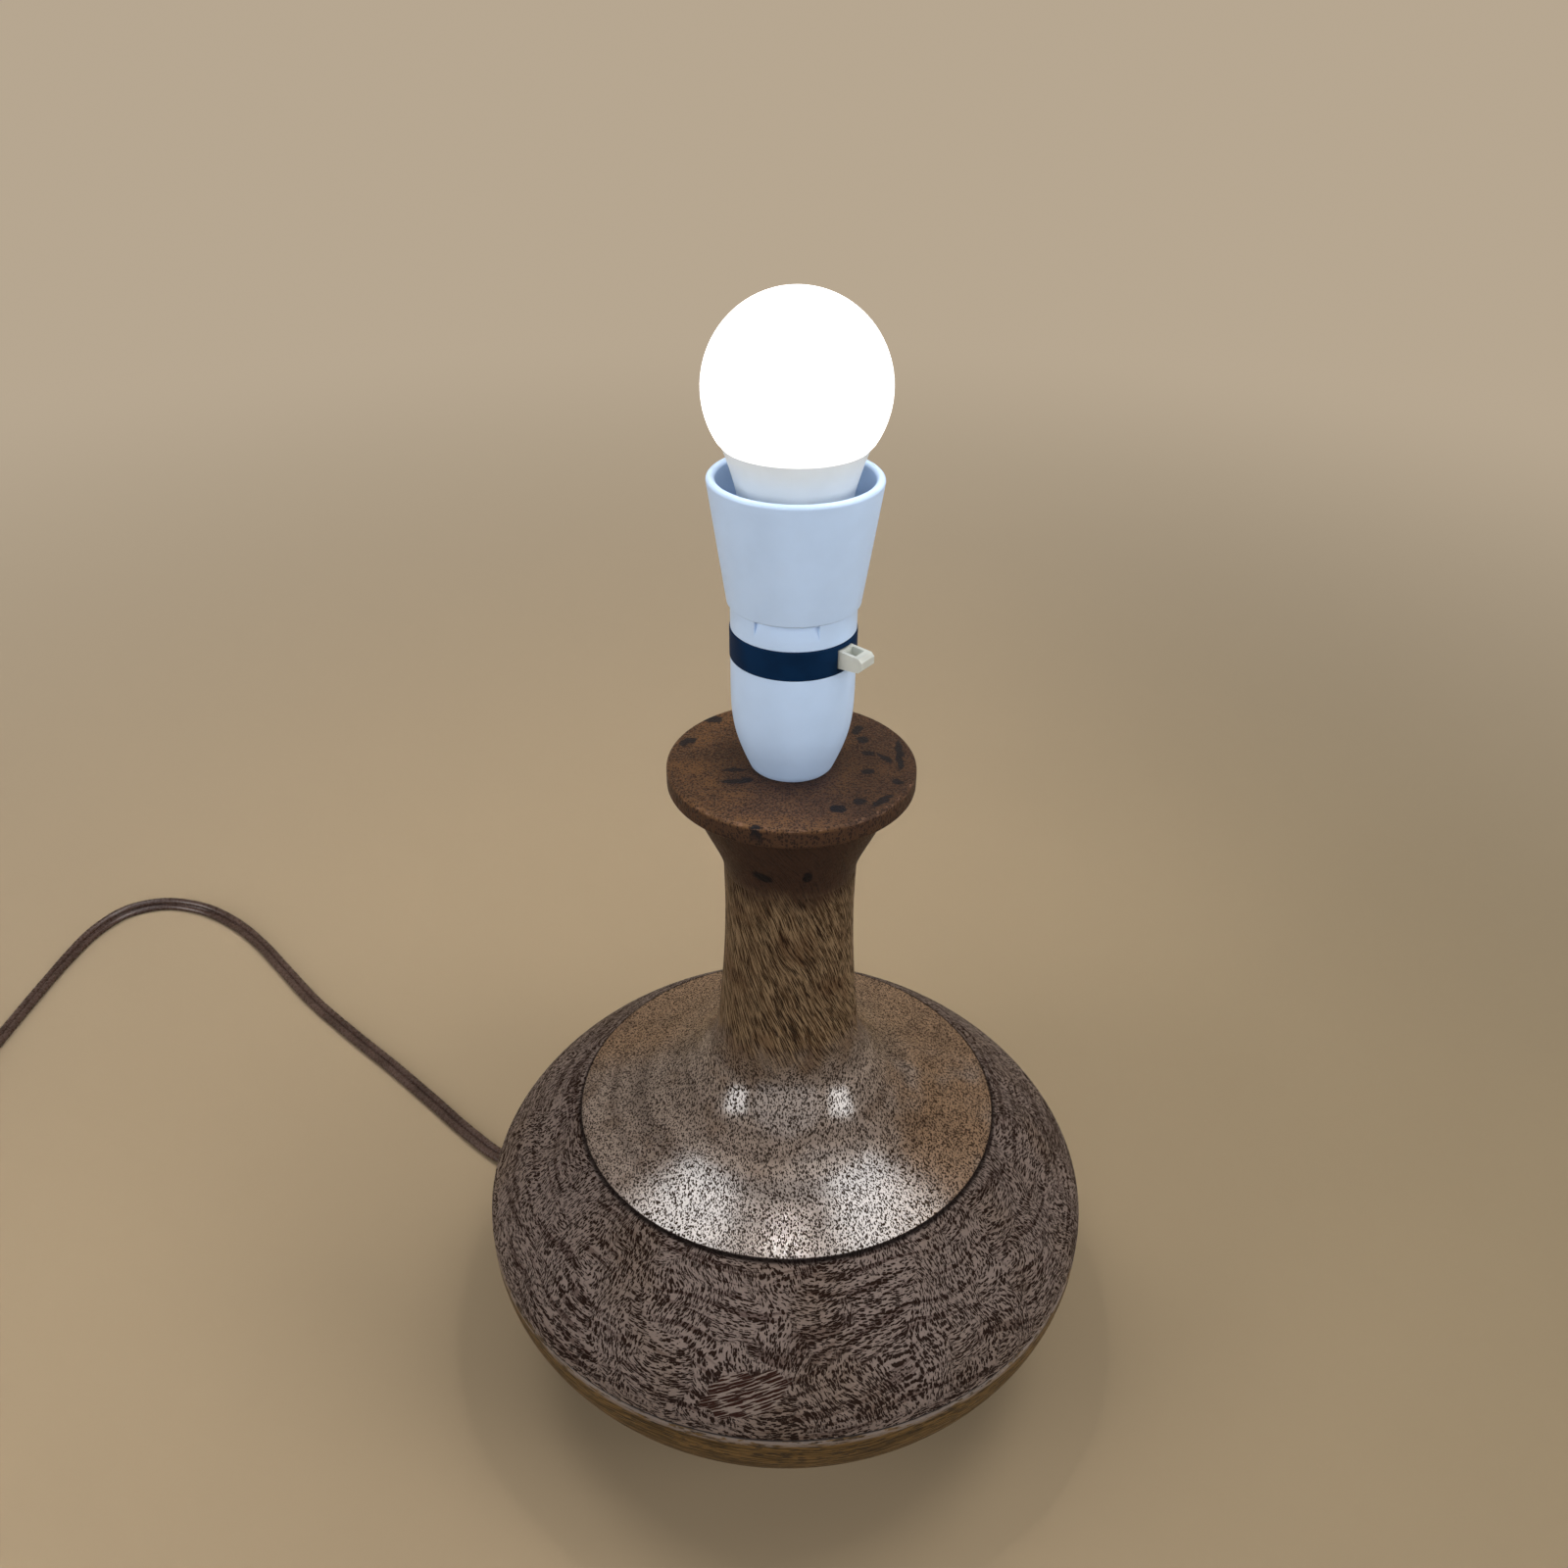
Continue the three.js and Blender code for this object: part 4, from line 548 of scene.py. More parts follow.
class Nodes:
    """A node tree, built up in small steps."""

    def __init__(self, tree):
        self.tree = tree

    def feed(self, socket, value):
        """Links an output to a socket, or sets its value."""
        if isinstance(value, bpy.types.NodeSocket):
            self.tree.links.new(value, socket)
        else:
            socket.default_value = value

    def node(self, kind, *values, **settings):
        """A node with its first inputs fed in order; capitalised settings name other inputs."""
        made = self.tree.nodes.new("ShaderNode" + kind)
        for name, value in settings.items():
            if name[0].islower():
                setattr(made, name, value)
        for socket, value in zip(made.inputs, values):
            self.feed(socket, value)
        for name, value in settings.items():
            if name[0].isupper():
                self.feed(made.inputs[name.replace("_", " ")], value)
        return made

    def vector(self, operation, *values, **settings):
        """A vector sum."""
        return self.node("VectorMath", *values, operation=operation, **settings).outputs["Vector"]

    def sum(self, operation, *values):
        """A sum of numbers."""
        return self.node("Math", *values, operation=operation).outputs["Value"]

    def parts(self, vector):
        """The x, y and z of a vector."""
        return self.node("SeparateXYZ", vector).outputs

    def join(self, x, y, z):
        """A vector of three numbers."""
        return self.node("CombineXYZ", x, y, z).outputs["Vector"]

    def length(self, vector):
        """The length of a vector."""
        return self.node("VectorMath", vector, operation="LENGTH").outputs["Value"]

    def turned(self, vector, angle):
        """The vector turned about Z by an angle in radians."""
        return self.node(
            "VectorRotate", Vector=vector, Angle=angle, rotation_type="Z_AXIS"
        ).outputs["Vector"]

    def ramp(self, value, low, high, to_low=0.0, to_high=1.0):
        """A smooth step from one level to another between low and high."""
        made = self.node(
            "MapRange", value, low, high, to_low, to_high, interpolation_type="SMOOTHSTEP"
        )
        return made.outputs["Result"]

    def noise(self, vector, size, detail=3.0, rough=0.5):
        """Soft noise with features of about that size in millimetres."""
        made = self.node("TexNoise", Vector=vector, Scale=1 / size, Detail=detail, Roughness=rough)
        return made.outputs["Fac"]

    def mix(self, share, first, second):
        """A blend of two colours."""
        made = self.node("Mix", data_type="RGBA")
        for index, value in ((0, share), (6, first), (7, second)):
            color = (*value, 1) if isinstance(value, tuple) else value
            self.feed(made.inputs[index], color)
        return made.outputs[2]

    def stretch(self, vector, sizes):
        """The vector measured in cells of those sizes."""
        return self.vector("MULTIPLY", vector, tuple(1 / size for size in sizes))

    def blend(self, share, first, second):
        """A number between two others."""
        made = self.node("Mix", data_type="FLOAT")
        for index, value in ((0, share), (2, first), (3, second)):
            self.feed(made.inputs[index], value)
        return made.outputs[0]

    def seen(self):
        """1 for the rays that see the background: straight, mirrored and through glass."""
        rays = self.node("LightPath").outputs
        seen = self.sum("MAXIMUM", rays["Is Camera Ray"], rays["Is Glossy Ray"])
        return self.sum("MAXIMUM", seen, rays["Is Transmission Ray"])


class Finish(Nodes):
    """A material on a principled shader; its plain colour is for where only constants are read."""

    def __init__(self, name, color, roughness, specular=0.5, metallic=0.0):
        self.material = bpy.data.materials.new(name)
        self.material.use_nodes = True
        super().__init__(self.material.node_tree)
        self.shader = self.tree.nodes["Principled BSDF"]
        self.set("Base Color", (*color, 1))
        self.set("Roughness", roughness)
        self.set("Specular IOR Level", specular)
        self.set("Metallic", metallic)
        place = self.node("TexCoord").outputs["Object"]
        self.place = self.vector("SCALE", place, Scale=1 / MM)

    def set(self, socket, value):
        """Feeds a socket of the shader."""
        self.feed(self.shader.inputs[socket], value)

    def wander(self, vector, size, amount):
        """The vector pushed about by soft noise with features of about that size."""
        push = self.node("TexNoise", Vector=self.place, Scale=1 / size, Detail=1.0).outputs["Color"]
        push = self.vector("SUBTRACT", push, (0.5, 0.5, 0.5))
        return self.vector("MULTIPLY_ADD", push, (amount, amount, amount), vector)

    def pores(self, vector, cell, sway, size, soft=0.12, flat="3D"):
        """A mask that is 1 inside pores of uneven size, one to each swaying cell."""
        cells = self.wander(self.stretch(vector, cell), *sway)
        found = self.node(
            "TexVoronoi", Vector=cells, Scale=1.0, Randomness=1.0, voronoi_dimensions=flat
        ).outputs
        uneven = self.parts(found["Color"])[0]
        grown = self.sum("MULTIPLY", found["Distance"], self.ramp(uneven, 0, 1, 0.8, 1.5))
        low = self.sum("SUBTRACT", size, soft)
        high = self.sum("ADD", size, soft)
        return self.ramp(grown, high, low)

    def swayed(self, size, span):
        """A number that wanders between minus and plus about half the span."""
        return self.sum("MULTIPLY", self.sum("SUBTRACT", self.noise(self.place, size, 1.5), 0.5), span)

    def ring(self, radius, shift=0.0):
        """The direction from the axis as a place on a circle, turned on by a shift in millimetres."""
        x, y, _ = self.parts(self.place)
        circle = self.vector("NORMALIZE", self.join(x, y, 0.0))
        circle = self.vector("SCALE", circle, Scale=radius)
        angle = self.sum("DIVIDE", shift, radius)
        return self.parts(self.turned(circle, angle))

    def spot(self, place, sizes):
        """How far away a place is, measured in those sizes."""
        return self.length(self.stretch(self.vector("SUBTRACT", self.place, place), sizes))

    def bump(self, height, depth, strength=1.0):
        """Relief of that depth in millimetres."""
        made = self.node("Bump", Strength=strength, Distance=depth * MM, Height=height)
        self.set("Normal", made.outputs["Normal"])

    def axis_distance(self):
        """Distance from the lamp's axis in millimetres."""
        x, y, _ = self.parts(self.place)
        return self.length(self.join(x, y, 0.0))


def make_camera():
    """The photograph's viewpoint."""
    lens = bpy.data.cameras.new("camera")
    lens.sensor_width = SENSOR_WIDTH
    lens.lens = LENS
    camera = add_object("camera", lens)
    tilt = Matrix.Rotation(radians(90 - CAMERA_PITCH), 4, "X")
    roll = Matrix.Rotation(radians(CAMERA_ROLL), 4, "Z")
    camera.matrix_world = Matrix.Translation(Vector(CAMERA_PLACE) * MM) @ tilt @ roll
    scene.camera = camera


def cord_point(distance, height=CORD_HOLE_HEIGHT):
    """A place on the line by which the flex leaves the bowl."""
    turn = radians(CORD_AZIMUTH)
    return Vector((distance * cos(turn), distance * sin(turn), height))


def smooth_path(places, step):
    """Close points on a smooth curve through a list of places."""
    places = [Vector(place) for place in places]
    places = [2 * places[0] - places[1], *places, 2 * places[-1] - places[-2]]
    points = []
    for before, start, end, after in zip(places, places[1:], places[2:], places[3:]):
        count = max(1, round((end - start).length / step))
        knots = [0]
        for one, other in ((before, start), (start, end), (end, after)):
            knots.append(knots[-1] + (other - one).length ** 0.5)
        for index in range(count):
            t = knots[1] + (knots[2] - knots[1]) * index / count
            points.append(knot_point((before, start, end, after), knots, t))
    return [*points, places[-2]]


def knot_point(corners, knots, t):
    """A point of the curve through four corners at their knots."""
    for spans in (((0, 1), (1, 2), (2, 3)), ((0, 2), (1, 3)), ((1, 2),)):
        corners = [
            one + (other - one) * ((t - knots[first]) / (knots[last] - knots[first]))
            for one, other, (first, last) in zip(corners, corners[1:], spans)
        ]
    return corners[0]


def smoothstep(value, low, high):
    """0 below low, 1 above high and smooth between."""
    share = min(max((value - low) / (high - low), 0), 1)
    return share * share * (3 - 2 * share)


def coil_path():
    """Centre line of the stored coil: in on the table, a climb, and out again on top."""
    start = Vector(FREE_ROUTE[-1]) - Vector((0, COIL_START_DROP, 0))
    points = []
    for step in range(COIL_TURNS * COIL_STEPS + 1):
        turns = step / COIL_STEPS
        from_middle = turns - COIL_TURNS / 2
        radius = COIL_OUTER_RADIUS - COIL_PITCH * (COIL_TURNS / 2 - abs(from_middle))
        climb = COIL_LAYER_PITCH * smoothstep(from_middle, -COIL_CLIMB, COIL_CLIMB)
        turn = -turns * tau
        across = radius * cos(turn) - COIL_OUTER_RADIUS
        points.append(start + Vector((across, radius * sin(turn), climb)))
    return points


def flex_path():
    """The whole flex from the bush to the plug."""
    exit_place = cord_point(BUSH_SEAT + BUSH_FLANGE[1] + BUSH_SLEEVE_LENGTH)
    coil = coil_path()
    inside = (PLUG_ENTRY[0] - PLUG_INSIDE, *PLUG_ENTRY[1:])
    free = smooth_path((exit_place, *FREE_ROUTE), FLEX_STEP)
    tail = smooth_path((coil[-1], *TAIL_ROUTE, PLUG_ENTRY, inside), FLEX_STEP)
    return [*free, *coil, *tail[1:]]


def flex_outline():
    """Section of the flat twin flex: two round lobes with a groove between them."""
    lobe = FLEX_THICKNESS / 2
    offset = FLEX_WIDTH / 2 - lobe
    open_angle = 180 - degrees(asin(FLEX_CREASE / lobe))
    right = arc((offset, 0), lobe, -open_angle, open_angle, ARC_STEPS * 2)
    return [*right, *[(-x, -y) for x, y in right]]


def edge_roll(point):
    """How far the flex has rolled on to its edge at a point, in radians."""
    away = (Vector(point[:2]) - Vector(EDGE_PLACE)).length
    return radians(EDGE_TURN) * (1 - smoothstep(away, 0, EDGE_REACH))


def tie_loop(inset):
    """Corner points of the strap's loop round the coil, across and up, at an inset from its outside."""
    far = COIL_OUTER_RADIUS * 2 - COIL_PITCH / 2
    near = COIL_OUTER_RADIUS * 2 - COIL_PITCH * COIL_TURNS / 2
    coil_x, _, coil_z = FREE_ROUTE[-1]
    room = TIE_SLACK + TIE_THICKNESS - inset
    wide, thick = FLEX_WIDTH / 2 + room, FLEX_THICKNESS / 2 + room
    low = (coil_x - far - wide, coil_z - thick)
    high = (coil_x - near + wide, coil_z + COIL_LAYER_PITCH + thick)
    round_by = TIE_CORNER + TIE_THICKNESS - inset
    points = []
    for x, z, first in (
        (high[0] - round_by, high[1] - round_by, 0), (low[0] + round_by, high[1] - round_by, 90),
        (low[0] + round_by, low[1] + round_by, 180), (high[0] - round_by, low[1] + round_by, 270),
    ):
        points += arc((x, z), round_by, first, first + 90)
    return points


def make_tie(finish):
    """The strap that ties the coil, one closed loop."""
    y = FREE_ROUTE[-1][1] - COIL_START_DROP
    shape = bmesh.new()
    rings = []
    for (x, z), (inner_x, inner_z) in zip(tie_loop(0), tie_loop(TIE_THICKNESS)):
        rings.append([
            shape.verts.new(Vector(corner) * MM)
            for corner in (
                (x, y - TIE_HALF_WIDTH, z), (x, y + TIE_HALF_WIDTH, z),
                (inner_x, y + TIE_HALF_WIDTH, inner_z), (inner_x, y - TIE_HALF_WIDTH, inner_z),
            )
        ])
    skin(shape, rings, closed=True)
    return dress(add_piece("tie", shape), finish, "tie_black", "lamp", "coil_tie")


def make_flex(finish):
    """The flex as one tube, with its coil's turns, and the strap that ties the coil."""
    path = flex_path()
    outline = flex_outline()
    lobe_offset = (FLEX_WIDTH - FLEX_THICKNESS) / 2
    upright = Vector((0, 0, 1))
    shape = bmesh.new()
    rings = []
    for before, here, after in zip([path[0], *path], path, [*path[1:], path[-1]]):
        along = (after - before).normalized()
        side = along.cross(upright).normalized()
        up = side.cross(along)
        roll = edge_roll(here)
        centre = here + upright * lobe_offset * sin(roll)
        wide = side * cos(roll) + up * sin(roll)
        high = up * cos(roll) - side * sin(roll)
        rings.append([shape.verts.new((centre + wide * x + high * y) * MM) for x, y in outline])
    skin(shape, rings)
    flex = dress(
        add_piece("flex", shape), finish, "flex_brown", "lamp", "flex_free", "flex_coil", "flex_tail"
    )
    make_tie(strap_finish())


def make_bush(finish):
    """The ribbed rubber bush, turned about the line of the flex."""
    sleeve = BUSH_SEAT + BUSH_FLANGE[1]
    tip = sleeve + BUSH_SLEEVE_LENGTH
    shrink = (BUSH_BODY[0] - BUSH_TIP_RADIUS) / BUSH_SLEEVE_LENGTH
    pitch = BUSH_SLEEVE_LENGTH / (BUSH_GROOVES + 1)
    outline = [
        (0, BUSH_SEAT - BUSH_BODY[1]),
        (BUSH_BODY[0], BUSH_SEAT - BUSH_BODY[1]),
        (BUSH_BODY[0], BUSH_SEAT),
        (BUSH_FLANGE[0], BUSH_SEAT),
        *arc((BUSH_FLANGE[0] - GAP * 2, sleeve - GAP * 2), GAP * 2, 0, 90),
    ]
    for groove in range(BUSH_GROOVES):
        middle = pitch * (groove + 1)
        radius = BUSH_BODY[0] - shrink * middle
        half = BUSH_GROOVE_WIDTH / 2
        outline += [(radius, sleeve + middle - half)]
        outline += [
            (radius - BUSH_GROOVE_DEPTH * sin(radians(turn)), sleeve + middle - half * cos(radians(turn)))
            for turn in range(BUSH_GROOVE_STEP, 180, BUSH_GROOVE_STEP)
        ]
        outline += [(radius, sleeve + middle + half)]
    outline += [*arc((BUSH_TIP_RADIUS - GAP, tip - GAP), GAP, 0, 90), (0, tip)]
    bush = revolve("bush", outline, SMALL_SEGMENTS)
    lay = Matrix.Rotation(radians(CORD_AZIMUTH), 4, "Z") @ Matrix.Rotation(pi / 2, 4, "Y")
    bush.data.transform(Matrix.Translation((0, 0, CORD_HOLE_HEIGHT * MM)) @ lay)
    half = (FLEX_WIDTH / 2 + GAP, FLEX_THICKNESS / 2 + GAP)
    bore = box_tool(
        (BUSH_SEAT - BUSH_BODY[1] - OVERRUN, -half[0], CORD_HOLE_HEIGHT - half[1]),
        (tip + OVERRUN, half[0], CORD_HOLE_HEIGHT + half[1]),
        CORD_AZIMUTH,
    )
    dress(carve(bush, bore), finish, "bush_rubber", "lamp", "cord_bush")


def make_bowl(finish):
    """The lower bowl with its recess and the way in for the flex."""
    foot, rim = levels("base_bowl")
    radius = reach("base_bowl")
    recess = foot + RECESS_DEPTH
    outline = [
        (BORE_RADIUS, rim),
        (BORE_RADIUS, recess + FUNNEL_HEIGHT),
        (FUNNEL_RADIUS, recess),
        (RECESS_RADIUS, recess),
        (RECESS_RADIUS, foot),
        *arc((FOOT_RADIUS - FOOT_CHAMFER, foot + FOOT_CHAMFER), FOOT_CHAMFER, -90, 0),
        *bend((FOOT_RADIUS, foot + FOOT_CHAMFER), (radius, rim - BOWL_RIM_DROP), BOWL_CURVE_SHARES)[1:],
        (radius, rim - GROOVE_DEPTH - GROOVE_ROUND),
        (radius - GROOVE_ROUND, rim - GROOVE_DEPTH),
        (radius - GROOVE_DEPTH, rim),
    ]
    bowl = revolve("bowl", outline, WOOD_SEGMENTS)
    hole = rod_tool(CORD_HOLE_RADIUS, cord_point(RECESS_RADIUS - OVERRUN), cord_point(radius))
    seat = rod_tool(BUSH_SEAT_BORE, cord_point(BUSH_SEAT), cord_point(radius))
    dress(carve(bowl, hole, seat), finish, "bowl_wood", "lamp", "base_bowl")


def make_belly(finish):
    """The textured belly between the two grooves."""
    low, high = levels("belly")
    radius = reach("belly")
    top = (SHOULDER_RADIUS + GROOVE_DEPTH, high - GROOVE_DEPTH / 2)
    outline = [
        (BORE_RADIUS, low),
        (radius - GROOVE_DEPTH, low),
        (radius - GROOVE_ROUND, low + GROOVE_DEPTH),
        *bend((radius, low + GROOVE_DEPTH + GROOVE_ROUND), top, BELLY_CURVE_SHARES),
        (SHOULDER_RADIUS + GROOVE_ROUND, high - GROOVE_DEPTH / 2),
        (SHOULDER_RADIUS - GROOVE_DEPTH, high),
        (BORE_RADIUS, high),
    ]
    dress(revolve("belly_turned", outline, WOOD_SEGMENTS), finish, "belly_wood", "lamp", "belly")


def make_neck(finish):
    """Shoulder and neck, turned from one block."""
    low, high = levels("neck_and_shoulder")
    neck_foot = (NECK_FOOT[0], low + NECK_FOOT[1])
    waist = (NECK_WAIST[0], low + NECK_WAIST[1])
    shoulder = (SHOULDER_RADIUS, low + GROOVE_DEPTH)
    outline = [
        (BORE_RADIUS, low),
        (SHOULDER_RADIUS - GROOVE_DEPTH, low),
        (SHOULDER_RADIUS - GROOVE_ROUND, low + GROOVE_DEPTH - GROOVE_ROUND),
        *bend(shoulder, neck_foot, SHOULDER_CURVE_SHARES),
        *bend(neck_foot, waist, NECK_CURVE_SHARES)[1:],
        (NECK_TOP_RADIUS, high),
        (BORE_RADIUS, high),
    ]
    neck = revolve("neck", outline, WOOD_SEGMENTS)
    dress(neck, finish, "neck_wood", "lamp", "neck_and_shoulder")


def make_cap(finish):
    """Disc and flared collar on top of the neck."""
    low, high = levels("top_cap")
    under = high - DISC_THICKNESS
    edge = reach("top_cap") - DISC_ARRIS
    outline = [
        (CAP_BORE, low),
        *bend((NECK_TOP_RADIUS, low), (CAP_COLLAR_RADIUS, under), CAP_CURVE_SHARES),
        *arc((edge, under + DISC_ARRIS), DISC_ARRIS, -90, 0),
        *arc((edge, high - DISC_ARRIS), DISC_ARRIS, 0, 90),
        (CAP_BORE, high),
    ]
    dress(revolve("cap", outline, WOOD_SEGMENTS), finish, "cap_wood", "lamp", "top_cap")


def make_barrel(finish):
    """Lower shell of the lampholder, open at the top."""
    low, high = levels("holder_barrel")
    radius = reach("holder_barrel")
    shoulder = low + BARREL_CURVE_HEIGHT
    inner = bend(
        (BARREL_FOOT[0] - BARREL_WALL, low + BARREL_FLOOR),
        (radius - BARREL_WALL, shoulder),
        BARREL_CURVE_SHARES,
    )
    outline = [
        (CAP_BORE, low),
        (BARREL_FOOT[0], low),
        *bend((sum(BARREL_FOOT), low + BARREL_FOOT[1]), (radius, shoulder), BARREL_CURVE_SHARES),
        *arc((radius - BARREL_LIP, high - BARREL_LIP), BARREL_LIP, 0, 90),
        (radius - BARREL_WALL, high),
        *reversed(inner),
        (CAP_BORE, low + BARREL_FLOOR),
    ]
    dress(revolve("barrel", outline), finish, "holder_white", "lamp", "holder_barrel")


def holder_box(low, high):
    """A cutting box in the lampholder's own directions."""
    return box_tool(low, high, HOLDER_AZIMUTH)


def holder_rod(radius, start, end):
    """A round cutting bar in the lampholder's own directions."""
    turn = Matrix.Rotation(radians(HOLDER_AZIMUTH), 3, "Z")
    return rod_tool(radius, turn @ Vector(start), turn @ Vector(end))


def make_band(finish):
    """The block behind the dark band, with the ways for the push bar and the contacts."""
    spigot, top = levels("terminal_block")
    radius = reach("terminal_block")
    socket = top - BOSS[1]
    band = socket - BAND_HEIGHT
    middle = socket - BAND_HEIGHT / 2
    outline = [
        (0, spigot),
        (SPIGOT_RADIUS, spigot),
        (SPIGOT_RADIUS, band),
        *arc((radius - BAND_ROUND, band + BAND_ROUND), BAND_ROUND, -90, 0),
        *arc((radius - BAND_ROUND, socket - BAND_ROUND), BAND_ROUND, 0, 90),
        (BOSS[0], socket),
        (BOSS[0], top),
        (0, top),
    ]
    far = radius + OVERRUN
    half_shank = BAR_SHANK[0] / 2 + GAP
    tools = [holder_box(
        (-far, -half_shank, middle - BAR_SHANK[1] / 2 - BRIDGE_THICKNESS - GAP),
        (far, half_shank, middle + BAR_SHANK[1] / 2 + GAP),
    )]
    pocket = radius - BAR_HEAD_DEPTH - BAR_TRAVEL - GAP
    half_head = (BAR_HEAD[0] / 2 + GAP, BAR_HEAD[1] / 2 + GAP)
    terminal_top = spigot + TERMINAL_TOP_RISE
    screw_level = spigot + TERMINAL_SCREW_RISE
    for side in (-1, 1):
        ends = sorted((side * pocket, side * far))
        tools.append(holder_box(
            (ends[0], -half_head[0], middle - half_head[1]),
            (ends[1], half_head[0], middle + half_head[1]),
        ))
        y = side * PLUNGER_OFFSET
        shoulder = top - PLUNGER_SHOULDER_DROP
        tools.append(holder_rod(PLUNGER_RADII[0] + GAP, (0, y, terminal_top), (0, y, shoulder)))
        tools.append(holder_rod(PLUNGER_RADII[1] + GAP, (0, y, shoulder - OVERRUN), (0, y, top + OVERRUN)))
        half = (TERMINAL[0] / 2 + GAP, TERMINAL[1] / 2 + GAP)
        centre = side * TERMINAL[2]
        tools.append(holder_box(
            (-half[0], centre - half[1], spigot - OVERRUN),
            (half[0], centre + half[1], terminal_top + GAP),
        ))
        tools.append(holder_rod(
            TERMINAL_SCREW_HEAD + GAP, (0, centre, screw_level), (0, side * far, screw_level)
        ))
    dress(carve(revolve("band", outline), *tools), finish, "band_navy", "lamp", "terminal_block")


def notch_tool(azimuth, ledge):
    """A shallow ramp to cut into the collar, deepest at the ledge."""
    collar = reach("socket_sleeve")
    outline = (
        (collar - NOTCH_DEPTH, ledge + OVERRUN),
        (collar - NOTCH_DEPTH, ledge),
        (collar, ledge - NOTCH_HEIGHT),
        (collar + OVERRUN, ledge - NOTCH_HEIGHT),
        (collar + OVERRUN, ledge + OVERRUN),
    )
    return wedge_tool(outline, azimuth - NOTCH_HALF_ANGLE, azimuth + NOTCH_HALF_ANGLE, CURVE_STEPS)


def slot_tool(first, last, low, high):
    """A way through the sleeve's wall between two angles and two levels."""
    outline = (
        (SLEEVE_BORE - OVERRUN, low),
        (SLEEVE_RADIUS + OVERRUN, low),
        (SLEEVE_RADIUS + OVERRUN, high),
        (SLEEVE_BORE - OVERRUN, high),
    )
    return wedge_tool(outline, HOLDER_AZIMUTH + first, HOLDER_AZIMUTH + last, ARC_STEPS)


def make_sleeve(finish):
    """Bayonet socket with its collar, ramps and hooked slots."""
    low, high = levels("socket_sleeve")
    collar = reach("socket_sleeve")
    ledge = low + COLLAR_HEIGHT
    pin = sum(levels("bulb_pin_near")) / 2
    outline = [
        (SLEEVE_BORE, low),
        (collar - BAND_ROUND, low),
        (collar, low + BAND_ROUND),
        (collar, ledge),
        (SLEEVE_RADIUS, ledge),
        (SLEEVE_RADIUS, high),
        (SLEEVE_BORE, high),
    ]
    spread = degrees(asin(SLOT_ROOM / SLEEVE_BORE))
    tools = [notch_tool(NOTCH_AZIMUTH + turn, ledge) for turn in (0, 180)]
    for turn in (0, 180):
        end = turn + BULB_TWIST
        tools.append(slot_tool(turn - spread, end + spread, pin - SLOT_ROOM, pin + SLOT_ROOM))
        tools.append(slot_tool(end - spread, end + spread, pin, high + OVERRUN))
    dress(carve(revolve("sleeve", outline), *tools), finish, "holder_white", "lamp", "socket_sleeve")


def make_skirt(finish):
    """Tapered skirt with a rounded rim and an inner thread ring at its foot."""
    low, high = levels("heat_skirt")
    rim = reach("heat_skirt")
    bead = high - SKIRT_BEAD
    slope = (rim - SKIRT_FOOT_RADIUS) / (bead - low)
    thread_top = low + SKIRT_THREAD_HEIGHT
    lip = bead - SKIRT_LIP_HEIGHT
    inner = [SKIRT_FOOT_RADIUS + slope * (level - low) - SKIRT_WALL for level in (lip, thread_top)]
    outline = [
        (SLEEVE_RADIUS + GAP, low),
        (SKIRT_FOOT_RADIUS - BARREL_LIP, low),
        (SKIRT_FOOT_RADIUS, low + BARREL_LIP),
        *arc((rim - SKIRT_BEAD, bead), SKIRT_BEAD, 0, 180, ARC_STEPS * 2),
        (inner[0], lip),
        (inner[1], thread_top + SKIRT_WALL),
        (SLEEVE_RADIUS + GAP, thread_top),
    ]
    dress(revolve("skirt", outline), finish, "holder_white", "skirt", "heat_skirt")


def make_housing(finish):
    """White housing between the bulb's cap and its diffuser."""
    low, high = levels("bulb_housing")
    rim = reach("bulb_housing")
    foot = low + HOUSING_SPIGOT[1]
    spigot = HOUSING_SPIGOT[0]
    waist = (HOUSING_WAIST[0], foot + HOUSING_WAIST[1])
    ledge = high - HOUSING_LEDGE[1]
    outline = [
        (spigot - HOUSING_WALL, low),
        (spigot, low),
        (spigot, foot),
        (HOUSING_FOOT_RADIUS - BARREL_LIP, foot),
        (HOUSING_FOOT_RADIUS, foot + BARREL_LIP),
        *bend(waist, (rim, high), HOUSING_CURVE_SHARES),
        (rim - HOUSING_WALL, high),
        (rim - HOUSING_WALL, ledge),
        (rim - HOUSING_WALL - HOUSING_LEDGE[0], ledge),
        (HOUSING_WAIST[0] - HOUSING_WALL, waist[1]),
        (spigot - HOUSING_WALL, foot + HOUSING_WALL),
    ]
    dress(revolve("housing", outline), finish, "housing_white", "bulb", "bulb_housing")


def make_diffuser(finish):
    """Opal diffuser, a thin round shell open at the bottom."""
    low, high = levels("bulb_diffuser")
    radius = reach("bulb_diffuser")
    centre = (0, high - radius)
    drop = centre[1] - low - DIFFUSER_LIP
    start = -degrees(asin(drop / radius))
    inner_radius = radius - DIFFUSER_WALL
    inner_start = -degrees(asin(drop / inner_radius))
    rim = reach("bulb_housing")
    outline = [
        *arc(centre, inner_radius, 90, inner_start, DOME_STEPS),
        (rim - DIFFUSER_WALL, low),
        (rim, low),
        *arc(centre, radius, start, 90, DOME_STEPS),
    ]
    dress(revolve("diffuser", outline), finish, "diffuser", "bulb", "bulb_diffuser")


def make_spring(side, finish):
    """A plunger's spring, a copy of the model's spring with the given finish."""
    node = "plunger_spring_" + side
    spring = add_object("spring_" + side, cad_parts[node].data.copy())
    spring.data.materials.clear()
    spring.data.materials.append(finish)
    shade(spring)
    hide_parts(node)
    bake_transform(spring)


